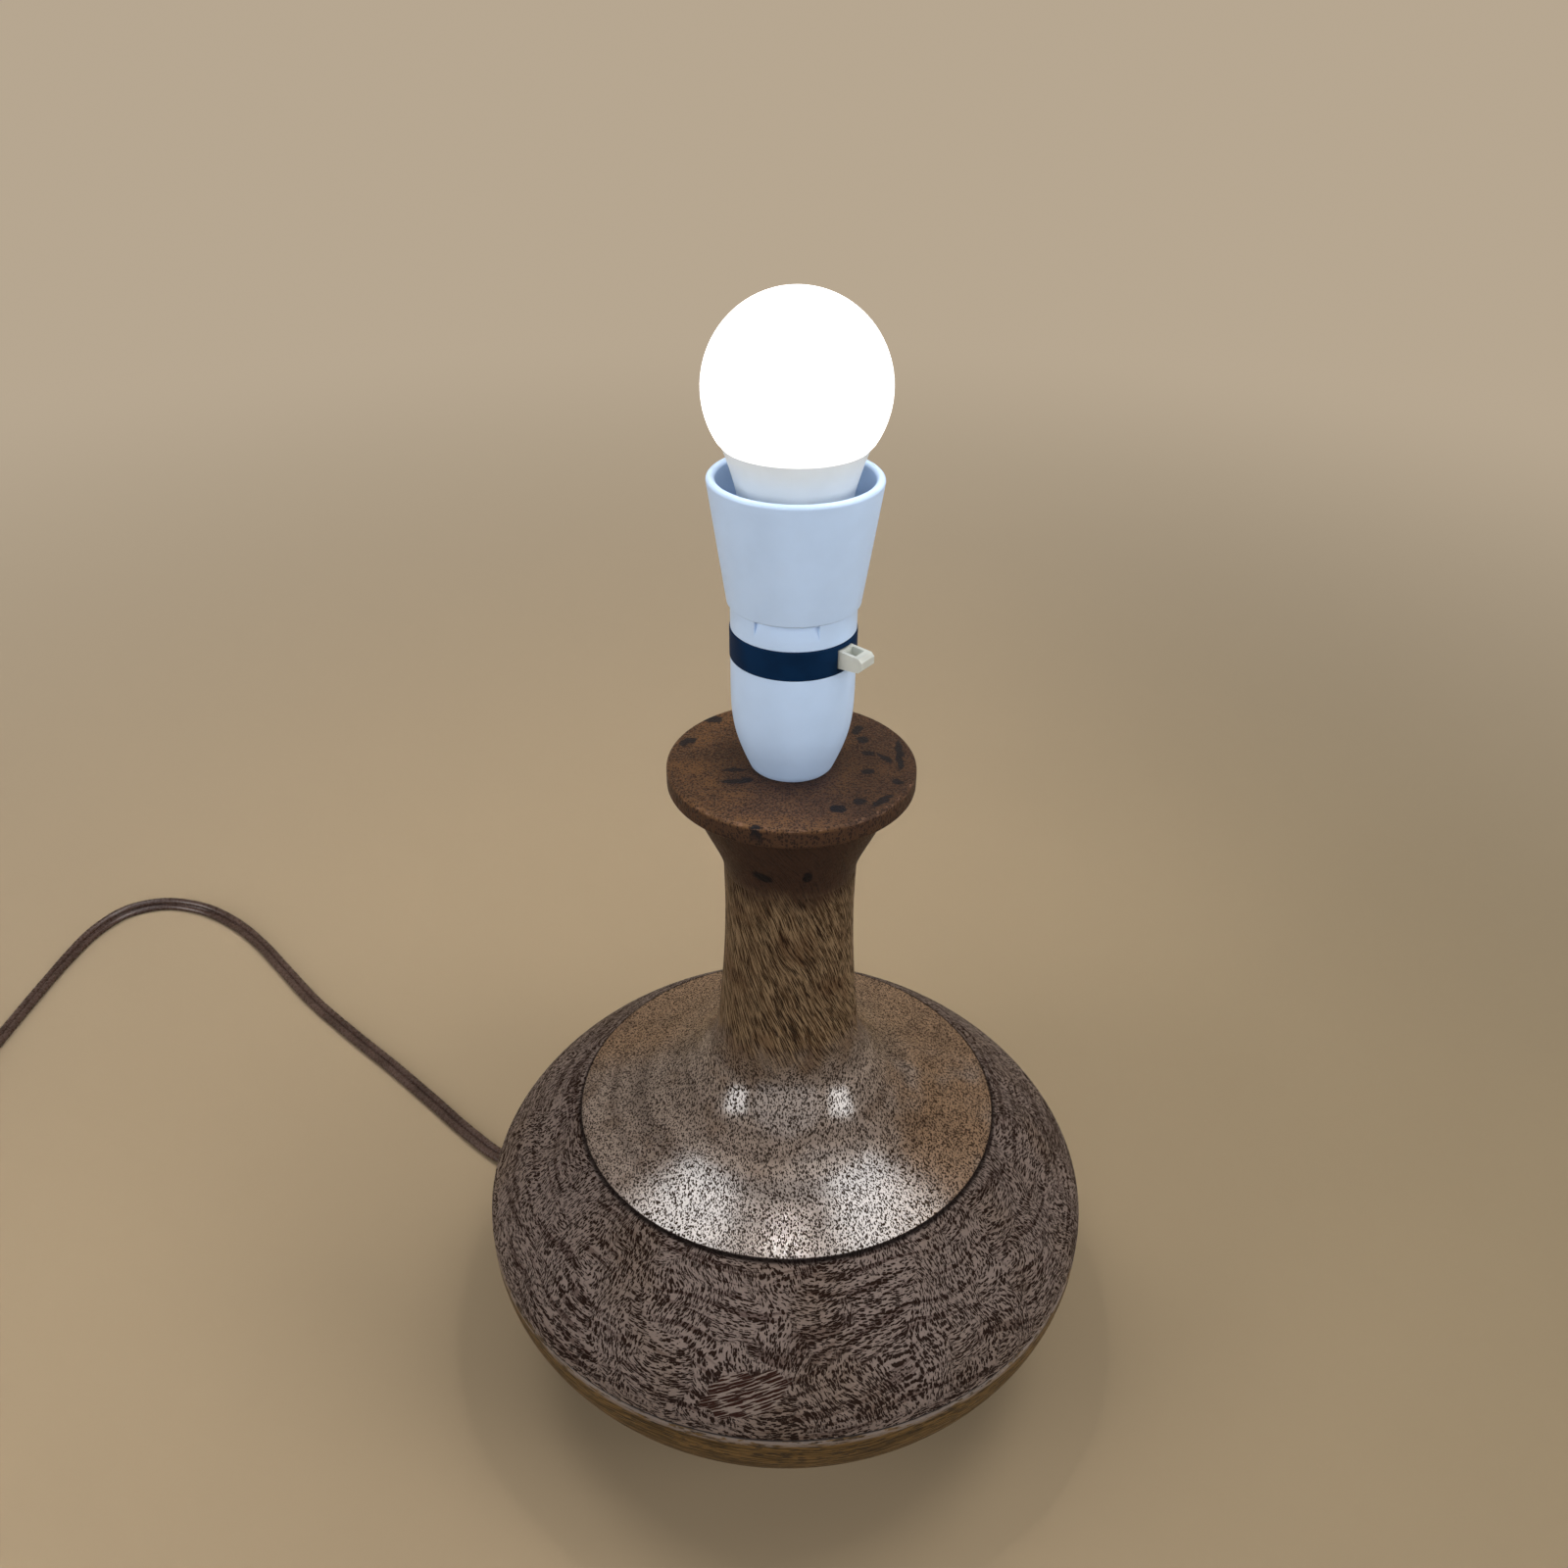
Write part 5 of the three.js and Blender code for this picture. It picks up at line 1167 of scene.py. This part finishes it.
def belly_finish():
    """Grey-mauve wood: dark ticks in flowing rows, and a knot of long reddish strokes at the front."""
    made = Finish("belly wood", (0.17, 0.14, 0.125), 0.5, 0.08)
    # Places along the belly's slope, and round the knot
    x, y, z = made.parts(made.place)
    rise = made.sum("MULTIPLY", made.sum("SUBTRACT", z, made.axis_distance()), BELLY_SLOPE)
    along = made.sum("SUBTRACT", x, KNOT_PLACE[0])
    above = made.sum("SUBTRACT", rise, BELLY_SLOPE * (KNOT_PLACE[2] - hypot(*KNOT_PLACE[:2])))
    knot = made.turned(made.join(along, above, 0.0), radians(-KNOT_LEAN))
    behind = made.ramp(y, -40, 0, 0, 6)
    across, over, _ = made.parts(made.stretch(knot, KNOT_SIZE))
    near = made.length(made.join(across, over, behind))
    # Rows of crowded pores that bend round the knot
    flow = made.sum("ADD", rise, made.swayed(44, 26))
    flow = made.sum("ADD", flow, made.ramp(near, 3.4, 0, 0, 8))
    rows = made.noise(made.stretch(made.join(x, y, flow), BELLY_ROW), 1, 2, 0.6)
    crowd = made.ramp(rows, 0.46, 0.62)
    # Slanting ticks, level dashes in patches and low down, and strokes in the knot
    u, v, _ = made.ring(BELLY_ROUND, made.swayed(24, 25))
    size = made.ramp(crowd, 0, 1, 0.5, 0.62)
    ticks = made.pores(made.join(u, v, rise), BELLY_TICK, (0.9, 0.9), size)
    u, v, _ = made.ring(BELLY_ROUND)
    level = made.sum("ADD", rise, made.swayed(30, 16))
    dashes = made.pores(made.join(u, v, level), BELLY_DASH, (0.9, 0.8), size)
    in_rows = made.ramp(made.noise(made.place, 15, 1), 0.5, 0.56)
    in_rows = made.sum("MAXIMUM", in_rows, made.ramp(rise, -28, -24, 1, 0))
    grained = made.blend(in_rows, ticks, dashes)
    strokes = made.pores(knot, KNOT_STROKE, (1.6, 0.5), 0.51, 0.1, "2D")
    in_knot = made.ramp(made.sum("ADD", near, made.swayed(4, 0.8)), 1.05, 0.85)
    pores = made.blend(in_knot, grained, strokes)
    # Colours of the rows, of warmer patches and of the knot, then painted shade in both grooves, and a chip
    base = made.mix(made.ramp(rows, 0.52, 0.62), BELLY_PALE, BELLY_DARK)
    base = made.mix(made.ramp(made.noise(made.place, 28, 2), 0.4, 0.7, 0, 0.5), base, BELLY_WARM)
    base = made.mix(made.sum("MULTIPLY", in_knot, 0.8), base, KNOT_PALE)
    # Painted shade along the upper and lower grooves
    low, high = levels("belly")
    out = made.axis_distance()
    top = made.sum("MULTIPLY", made.ramp(out, SHOULDER_RADIUS + GROOVE_SHADE * 2, SHOULDER_RADIUS), 0.9)
    foot = made.ramp(z, low + GROOVE_SHADE * 0.7, low + GROOVE_SHADE * 0.3)
    groove = made.sum("MAXIMUM", top, foot)
    chip = made.ramp(made.spot(CHIP_PLACE, CHIP_SIZE), 1, 0.7)
    dark = made.mix(in_knot, BELLY_PORE_COLOR, KNOT_PORE_COLOR)
    color = made.mix(made.ramp(pores, 0, 1, 0, 0.97), base, dark)
    color = made.mix(groove, color, GROOVE_SHADE_COLOR)
    made.set("Base Color", made.mix(chip, color, CHIP_COLOR))
    made.set("Roughness", made.ramp(pores, 0, 1, 0.45, 0.95))
    made.bump(made.sum("SUBTRACT", made.noise(made.place, 0.8, 2), pores), 0.25, 0.9)
    return made.material


def streaks(made):
    """Pores and base colour of the upright wood whose grain leans to the left."""
    z = made.parts(made.place)[2]
    shift = made.sum("ADD", made.sum("MULTIPLY", z, NECK_LEAN), made.swayed(26, 6))
    u, v, _ = made.ring(NECK_ROUND, shift)
    upright = made.join(u, v, z)
    lines = made.noise(made.stretch(upright, NECK_LINE), 1, 4, 0.72)
    pores = made.pores(upright, NECK_PORE, (1.2, 0.3), 0.4)
    return pores, made.mix(made.ramp(lines, 0.42, 0.58), NECK_DARK, NECK_PALE)


def neck_finish():
    """Lacquered brown wood: leaning streaks on the neck, short dark flecks on the shoulder."""
    made = Finish("neck wood", (0.24, 0.16, 0.085), 0.5, 0.08)
    made.set("Coat Roughness", LACQUER_ROUGHNESS)
    made.set("Coat IOR", LACQUER_IOR)
    x, y, z = made.parts(made.place)
    # Flecks across the grain on the shoulder, and the neck's own streaks above it
    sway = made.join(made.swayed(30, 7), made.swayed(26, 5), 0.0)
    upright = made.node(
        "VectorRotate", Vector=made.place, Rotation=(radians(DOME_TILT), radians(DOME_LEAN), 0.0),
        rotation_type="EULER_XYZ",
    ).outputs["Vector"]
    on_neck = made.ramp(made.sum("ADD", z, made.swayed(6, 14)), *SHOULDER_TOP)
    flecks = made.pores(made.vector("ADD", upright, sway), DOME_PORE, (0.6, 0.9), 0.5)
    slits, neck = streaks(made)
    pores = made.blend(on_neck, flecks, slits)
    # Turning rings, a warm right side and back, and dark patches
    out = made.axis_distance()
    rings = made.noise(made.join(out, made.swayed(60, 14), 0.0), 7, 2)
    dome = made.mix(made.ramp(rings, 0.36, 0.6), DOME_DARK, DOME_PALE)
    warm = made.sum("MULTIPLY", made.ramp(x, 18, 44), made.ramp(made.noise(made.place, 22, 2), 0.25, 0.55))
    warm = made.sum("MAXIMUM", warm, made.ramp(y, -4, 26))
    dome = made.mix(made.ramp(warm, 0, 1, 0, 0.8), dome, DOME_WARM)
    base = made.mix(on_neck, dome, neck)
    patch = made.ramp(made.noise(made.place, 13, 2), 0.5, 0.68, 0, 0.5)
    base = made.mix(patch, base, PATCH_COLOR)
    # Darker towards the collar: partly its own wood, partly painted shade under the disc
    base = made.mix(collar_dark_and_shade_share(made), base, COLLAR_DARK_AND_SHADE_COLOR)
    # A scratched place, the pores, and painted shade in the groove at the foot
    scratch = made.ramp(made.spot(SCRATCH_PLACE, SCRATCH_SIZE), 1, 0.6)
    lines = made.noise(made.stretch(made.place, SCRATCH_LINE), 1, 2)
    worn = made.sum("MULTIPLY", scratch, made.ramp(lines, 0.56, 0.62))
    color = made.mix(made.ramp(pores, 0, 1, 0, 0.93), base, NECK_PORE_COLOR)
    groove = made.ramp(out, SHOULDER_RADIUS - GROOVE_SHADE, SHOULDER_RADIUS - GROOVE_SHADE / 3)
    color = made.mix(groove, color, GROOVE_SHADE_COLOR)
    made.set("Base Color", made.mix(made.ramp(worn, 0, 1, 0, 0.7), color, SCRATCH_COLOR))
    made.set("Roughness", made.ramp(pores, 0, 1, 0.45, 0.95))
    bare = made.sum("MAXIMUM", pores, groove)
    made.set("Coat Weight", made.blend(on_neck, made.ramp(bare, 0.1, 0.7, 1, 0), 0.06))
    made.bump(made.sum("SUBTRACT", made.noise(made.place, 0.8, 2), pores), 0.12, 0.7)
    return made.material


def collar_dark_and_shade_share(made):
    """How far the neck's wood has darkened into the collar's, from 0 to 1: partly the collar's own dark wood,
    partly painted shade under the disc.
    """
    joint = levels("top_cap")[0]
    height = made.sum("ADD", made.parts(made.place)[2], made.swayed(9, 10))
    return made.ramp(height, joint - COLLAR_BLEND, joint + COLLAR_BLEND / 2)


def marks(made, place, strokes):
    """A mask of strokes, each a centre, its half sizes and its turn, on the directions x and y of a place."""
    found = 0.0
    for x, y, long, wide, turn in strokes:
        offset = made.turned(made.vector("SUBTRACT", place, (x, y, 0.0)), radians(-turn))
        away = made.length(made.stretch(offset, (long, wide, 1)))
        found = made.sum("MAXIMUM", found, made.ramp(away, 1.2, 0.8))
    return found


def cap_finish():
    """Reddish-brown wood with close dark specks, ink-dark marks and a worn arris."""
    made = Finish("cap wood", (0.156, 0.065, 0.03), 0.5, 0.14)
    x, y, z = made.parts(made.place)
    low, high = levels("top_cap")
    edge = reach("top_cap")
    slits, neck = streaks(made)
    out = made.axis_distance()
    specks = made.pores(made.place, CAP_SPECK, (0.8, 0.8), 0.46, 0.14)
    grain = made.noise(made.stretch(made.place, CAP_GRAIN), 1, 3, 0.65)
    broad = made.noise(made.place, 9, 3)
    base = made.mix(made.ramp(grain, 0.34, 0.66), CAP_DARK, CAP_PALE)
    base = made.mix(made.ramp(broad, 0.42, 0.62, 0, 0.8), base, CAP_WARM)
    # Painted shade: darker round the holder's foot, towards the right and down the disc's side
    inner = made.ramp(made.sum("ADD", out, made.swayed(12, 14)), 27, 13, 0, 0.7)
    painted_shade = made.sum("MAXIMUM", inner, made.ramp(x, -4, 20, 0, 0.62))
    painted_shade = made.sum("MAXIMUM", painted_shade, made.ramp(z, high - 0.6, high - 1.6, 0, 0.75))
    base = made.mix(painted_shade, base, CAP_SHADE_COLOR)
    base = made.mix(made.ramp(specks, 0, 1, 0, 0.8), base, CAP_SPECK_COLOR)
    # Ink marks with ragged outlines, on the disc alone
    brushed = made.wander(made.place, 2.2, 2.4)
    flat = made.vector("MULTIPLY", brushed, (1, 1, 0))
    inked = made.sum("MULTIPLY", marks(made, flat, CAP_MARKS), made.ramp(grain, 0.25, 0.55, 0.7, 1))
    inked = made.sum("MULTIPLY", inked, made.ramp(z, high - DISC_THICKNESS, high - 1))
    base = made.mix(inked, base, INK_COLOR)
    # The front of the disc's upper arris, worn pale in places
    round_edge = made.ramp(out, edge - 1.4, edge - 0.5)
    up = made.ramp(z, high - 1.2, high - 0.4)
    worn = made.noise(made.stretch(made.place, ARRIS_WEAR), 1, 3, 0.7)
    arris = made.sum("MULTIPLY", made.sum("MULTIPLY", round_edge, up), made.ramp(worn, 0.52, 0.66))
    arris = made.sum("MULTIPLY", arris, made.ramp(y, 5, -12))
    base = made.mix(made.ramp(arris, 0, 1, 0, 0.6), base, ARRIS_COLOR)
    # The collar goes on from the neck, darker partly in its own wood and partly by painted shade under the
    # disc, and has smudges of its own
    collar = made.mix(collar_dark_and_shade_share(made), neck, COLLAR_DARK_AND_SHADE_COLOR)
    front = made.join(x, z, 0.0)
    smudged = made.sum("MULTIPLY", marks(made, made.wander(front, 2.2, 2), COLLAR_MARKS), made.ramp(y, 0, -8))
    collar = made.mix(made.sum("MULTIPLY", smudged, 0.95), collar, SMUDGE_COLOR)
    collar = made.mix(made.sum("MULTIPLY", slits, 0.6), collar, COLLAR_PORE_COLOR)
    on_disc = made.ramp(z, high - DISC_THICKNESS - 0.6, high - DISC_THICKNESS + 0.1)
    made.set("Base Color", made.mix(on_disc, collar, base))
    made.set("Roughness", made.ramp(grain, 0.3, 0.7, 0.62, 0.42))
    relief = made.blend(on_disc, slits, specks)
    made.bump(made.sum("SUBTRACT", grain, relief), 0.09, 0.6)
    return made.material


def bowl_finish():
    """Ochre-olive wood with fine level grain and a scuffed rim."""
    made = Finish("bowl wood", (0.2, 0.125, 0.045), 0.5, 0.25)
    x, y, z = made.parts(made.place)
    rim = levels("base_bowl")[1]
    wavy = made.sum("ADD", z, made.swayed(40, 9))
    grain = made.noise(made.stretch(made.join(x, y, wavy), BOWL_GRAIN), 1, 3, 0.6)
    pores = made.pores(made.join(x, y, wavy), BOWL_PORE, (1.5, 0.5), 0.4)
    base = made.mix(made.ramp(grain, 0.36, 0.62), BOWL_DARK, BOWL_PALE)
    base = made.mix(made.ramp(pores, 0, 1, 0, 0.85), base, BOWL_PORE_COLOR)
    scuffs = made.noise(made.stretch(made.place, RIM_SCUFF), 1, 3, 0.65)
    rubbed = made.sum("MULTIPLY", made.ramp(z, rim - 3, rim - 1.6), made.ramp(scuffs, 0.4, 0.52))
    color = made.mix(made.ramp(rubbed, 0, 1, 0, 0.8), base, RUBBED_COLOR)
    # Painted shade in the groove at the rim
    groove = made.ramp(z, rim - GROOVE_SHADE * 0.8, rim - GROOVE_SHADE * 0.5)
    made.set("Base Color", made.mix(groove, color, GROOVE_SHADE_COLOR))
    made.set("Roughness", made.ramp(grain, 0.3, 0.7, 0.6, 0.42))
    made.bump(made.sum("SUBTRACT", grain, pores), 0.1, 0.6)
    return made.material


def plastic_finish(name, color, roughness, mottle=0.06, grain=0.012, specular=0.5):
    """Moulded plastic with faint cloudiness and a very fine grain."""
    made = Finish(name, color, roughness, specular)
    cloud = made.noise(made.place, 9, 3)
    darker = tuple(share * (1 - mottle) for share in color)
    lighter = tuple(min(1, share * (1 + mottle)) for share in color)
    made.set("Base Color", made.mix(made.ramp(cloud, 0.3, 0.7), darker, lighter))
    fine = made.noise(made.place, 0.35, 2)
    made.set("Roughness", made.ramp(cloud, 0.25, 0.75, roughness * 0.85, roughness * 1.2))
    made.bump(fine, grain, 0.5)
    return made.material


def flex_finish():
    """Glossy dark brown insulation with faint scuffs."""
    made = Finish("flex brown", (0.04, 0.02, 0.015), 0.25)
    cloud = made.noise(made.place, 14, 3)
    scuff = made.noise(made.place, 1.2, 3, 0.7)
    made.set("Base Color", made.mix(made.ramp(cloud, 0.3, 0.7), *FLEX_COLORS))
    made.set("Roughness", made.ramp(scuff, 0.35, 0.7, 0.2, 0.42))
    made.bump(scuff, 0.015, 0.4)
    return made.material


def metal_finish(name, color, roughness):
    """Turned metal with faint tarnish and tool marks."""
    made = Finish(name, color, roughness, metallic=1.0)
    tarnish = made.noise(made.place, 3, 3)
    darker = tuple(share * 0.7 for share in color)
    made.set("Base Color", made.mix(made.ramp(tarnish, 0.45, 0.75), color, darker))
    turned = made.noise(made.stretch(made.place, TOOL_MARK), 1, 2)
    made.set("Roughness", made.ramp(turned, 0.3, 0.7, roughness * 0.8, roughness * 1.4))
    made.bump(turned, 0.008, 0.4)
    return made.material


def felt_finish():
    """Matted green felt."""
    made = Finish("felt", (0.035, 0.06, 0.028), 0.95)
    made.set("Sheen Weight", 0.4)
    fibre = made.noise(made.place, 0.5, 4, 0.8)
    made.set("Base Color", made.mix(made.ramp(fibre, 0.3, 0.7), *FELT_COLORS))
    made.bump(fibre, 0.2, 0.8)
    return made.material


def strap_finish():
    """Woven black strap."""
    made = Finish("strap", (0.014, 0.014, 0.015), 0.8)
    across = made.node("TexChecker", Vector=made.stretch(made.place, WEAVE), Scale=1.0)
    made.set("Base Color", made.mix(across.outputs["Fac"], *STRAP_COLORS))
    made.bump(across.outputs["Fac"], 0.08, 0.6)
    return made.material


def diffuser_finish():
    """Lit opal white, brightest above its lip, with the faintest cloud in it.

    It lights the scene at its full level, and is seen just past white, so that its outline stays smooth.
    """
    made = Finish("diffuser", (0.95, 0.95, 0.95), 0.3)
    cloud = made.noise(made.place, 12, 2)
    made.set("Base Color", made.mix(made.ramp(cloud, 0.3, 0.7), *OPAL_COLORS))
    low = levels("bulb_diffuser")[0]
    lit = made.ramp(made.parts(made.place)[2], low + BULB_LIT[0], low + BULB_LIT[1])
    glow = made.mix(lit, (BULB_DIM, BULB_DIM, BULB_DIM), GLOW_COLOR)
    seen = made.node("LightPath").outputs["Is Camera Ray"]
    made.set("Emission Color", made.mix(seen, glow, (BULB_SEEN, BULB_SEEN, BULB_SEEN)))
    made.set("Emission Strength", BULB_LEVEL)
    return made.material


def make_stage():
    """Pale floor with painted shade towards the right, a world that shows the same pale colour, and the
    lamps.
    """
    floor = box_tool((-FLOOR_HALF, -FLOOR_HALF, -FLOOR_THICKNESS), (FLOOR_HALF, FLOOR_HALF, 0))
    floor.name = "floor"
    made = Finish("floor", FLOOR_COLOR, 0.9, 0.0)
    # The floor's colour is painted darker towards the right, a painted shade with a wavy edge
    x = made.sum("ADD", made.parts(made.place)[0], made.swayed(*FLOOR_SWAY))
    lit = made.mix(made.ramp(x, *FLOOR_SHADE_SPAN), FLOOR_COLOR, FLOOR_SHADE_COLOR)
    far = made.sum("MULTIPLY", made.seen(), made.ramp(made.axis_distance(), *FLOOR_FAR))
    made.set("Base Color", made.mix(far, lit, (0.0, 0.0, 0.0)))
    made.set("Emission Color", (*FAR_COLOR, 1))
    made.set("Emission Strength", far)
    floor.data.materials.append(made.material)
    make_world()
    for name, place, size, power in LAMPS:
        make_lamp(name, place, size, power)
    make_front_light()


def make_world():
    """Even light, while camera, glossy and transmission rays see the far floor's pale colour."""
    world = bpy.data.worlds.new("world")
    scene.world = world
    world.use_nodes = True
    world.node_tree.nodes.clear()
    made = Nodes(world.node_tree)
    light = made.node("Background", (1, 1, 1, 1), WORLD_LEVEL)
    far = made.node("Background", (*FAR_COLOR, 1), 1.0)
    mixed = made.node("MixShader", made.seen(), light.outputs[0], far.outputs[0])
    made.node("OutputWorld", mixed.outputs[0])


def make_lamp(name, place, size, power):
    """A soft panel that looks at the lamp's middle."""
    light = bpy.data.lights.new(name, "AREA")
    light.shape = "RECTANGLE"
    light.size, light.size_y = size[0] * MM, size[1] * MM
    light.energy = power
    lamp = add_object(name, light)
    lamp.location = Vector(place) * MM
    middle = Vector((0, 0, sum(levels("belly")) / 2 * MM))
    lamp.rotation_euler = (middle - lamp.location).to_track_quat("-Z", "Y").to_euler()


def make_front_light():
    """Broad, even light from the camera's side."""
    light = bpy.data.lights.new("front", "SUN")
    light.energy = FRONT_LEVEL
    light.color = FRONT_TINT
    light.angle = radians(FRONT_SPREAD)
    add_object("front", light).rotation_euler = (radians(90 - FRONT_HEIGHT), 0, 0)


make_camera()
finishes = {"flex brown": flex_finish()}
make_flex(finishes["flex brown"])
finishes["felt"] = felt_finish()
for name, values in PLASTICS.items():
    finishes[name] = plastic_finish(name, *values)
for name, values in METALS.items():
    finishes[name] = metal_finish(name, *values)
make_bush(finishes["bush rubber"])
make_bowl(bowl_finish())
make_belly(belly_finish())
make_neck(neck_finish())
make_cap(cap_finish())
make_barrel(finishes["holder white"])
make_band(finishes["band navy"])
make_sleeve(finishes["holder white"])
make_skirt(finishes["holder white"])
make_housing(finishes["housing white"])
make_diffuser(diffuser_finish())
for name, nodes in KEPT_NODES.items():
    for node in nodes:
        finish_node(node, finishes[name])
for side in ("live", "neutral"):
    make_spring(side, finishes["steel"])
make_stage()
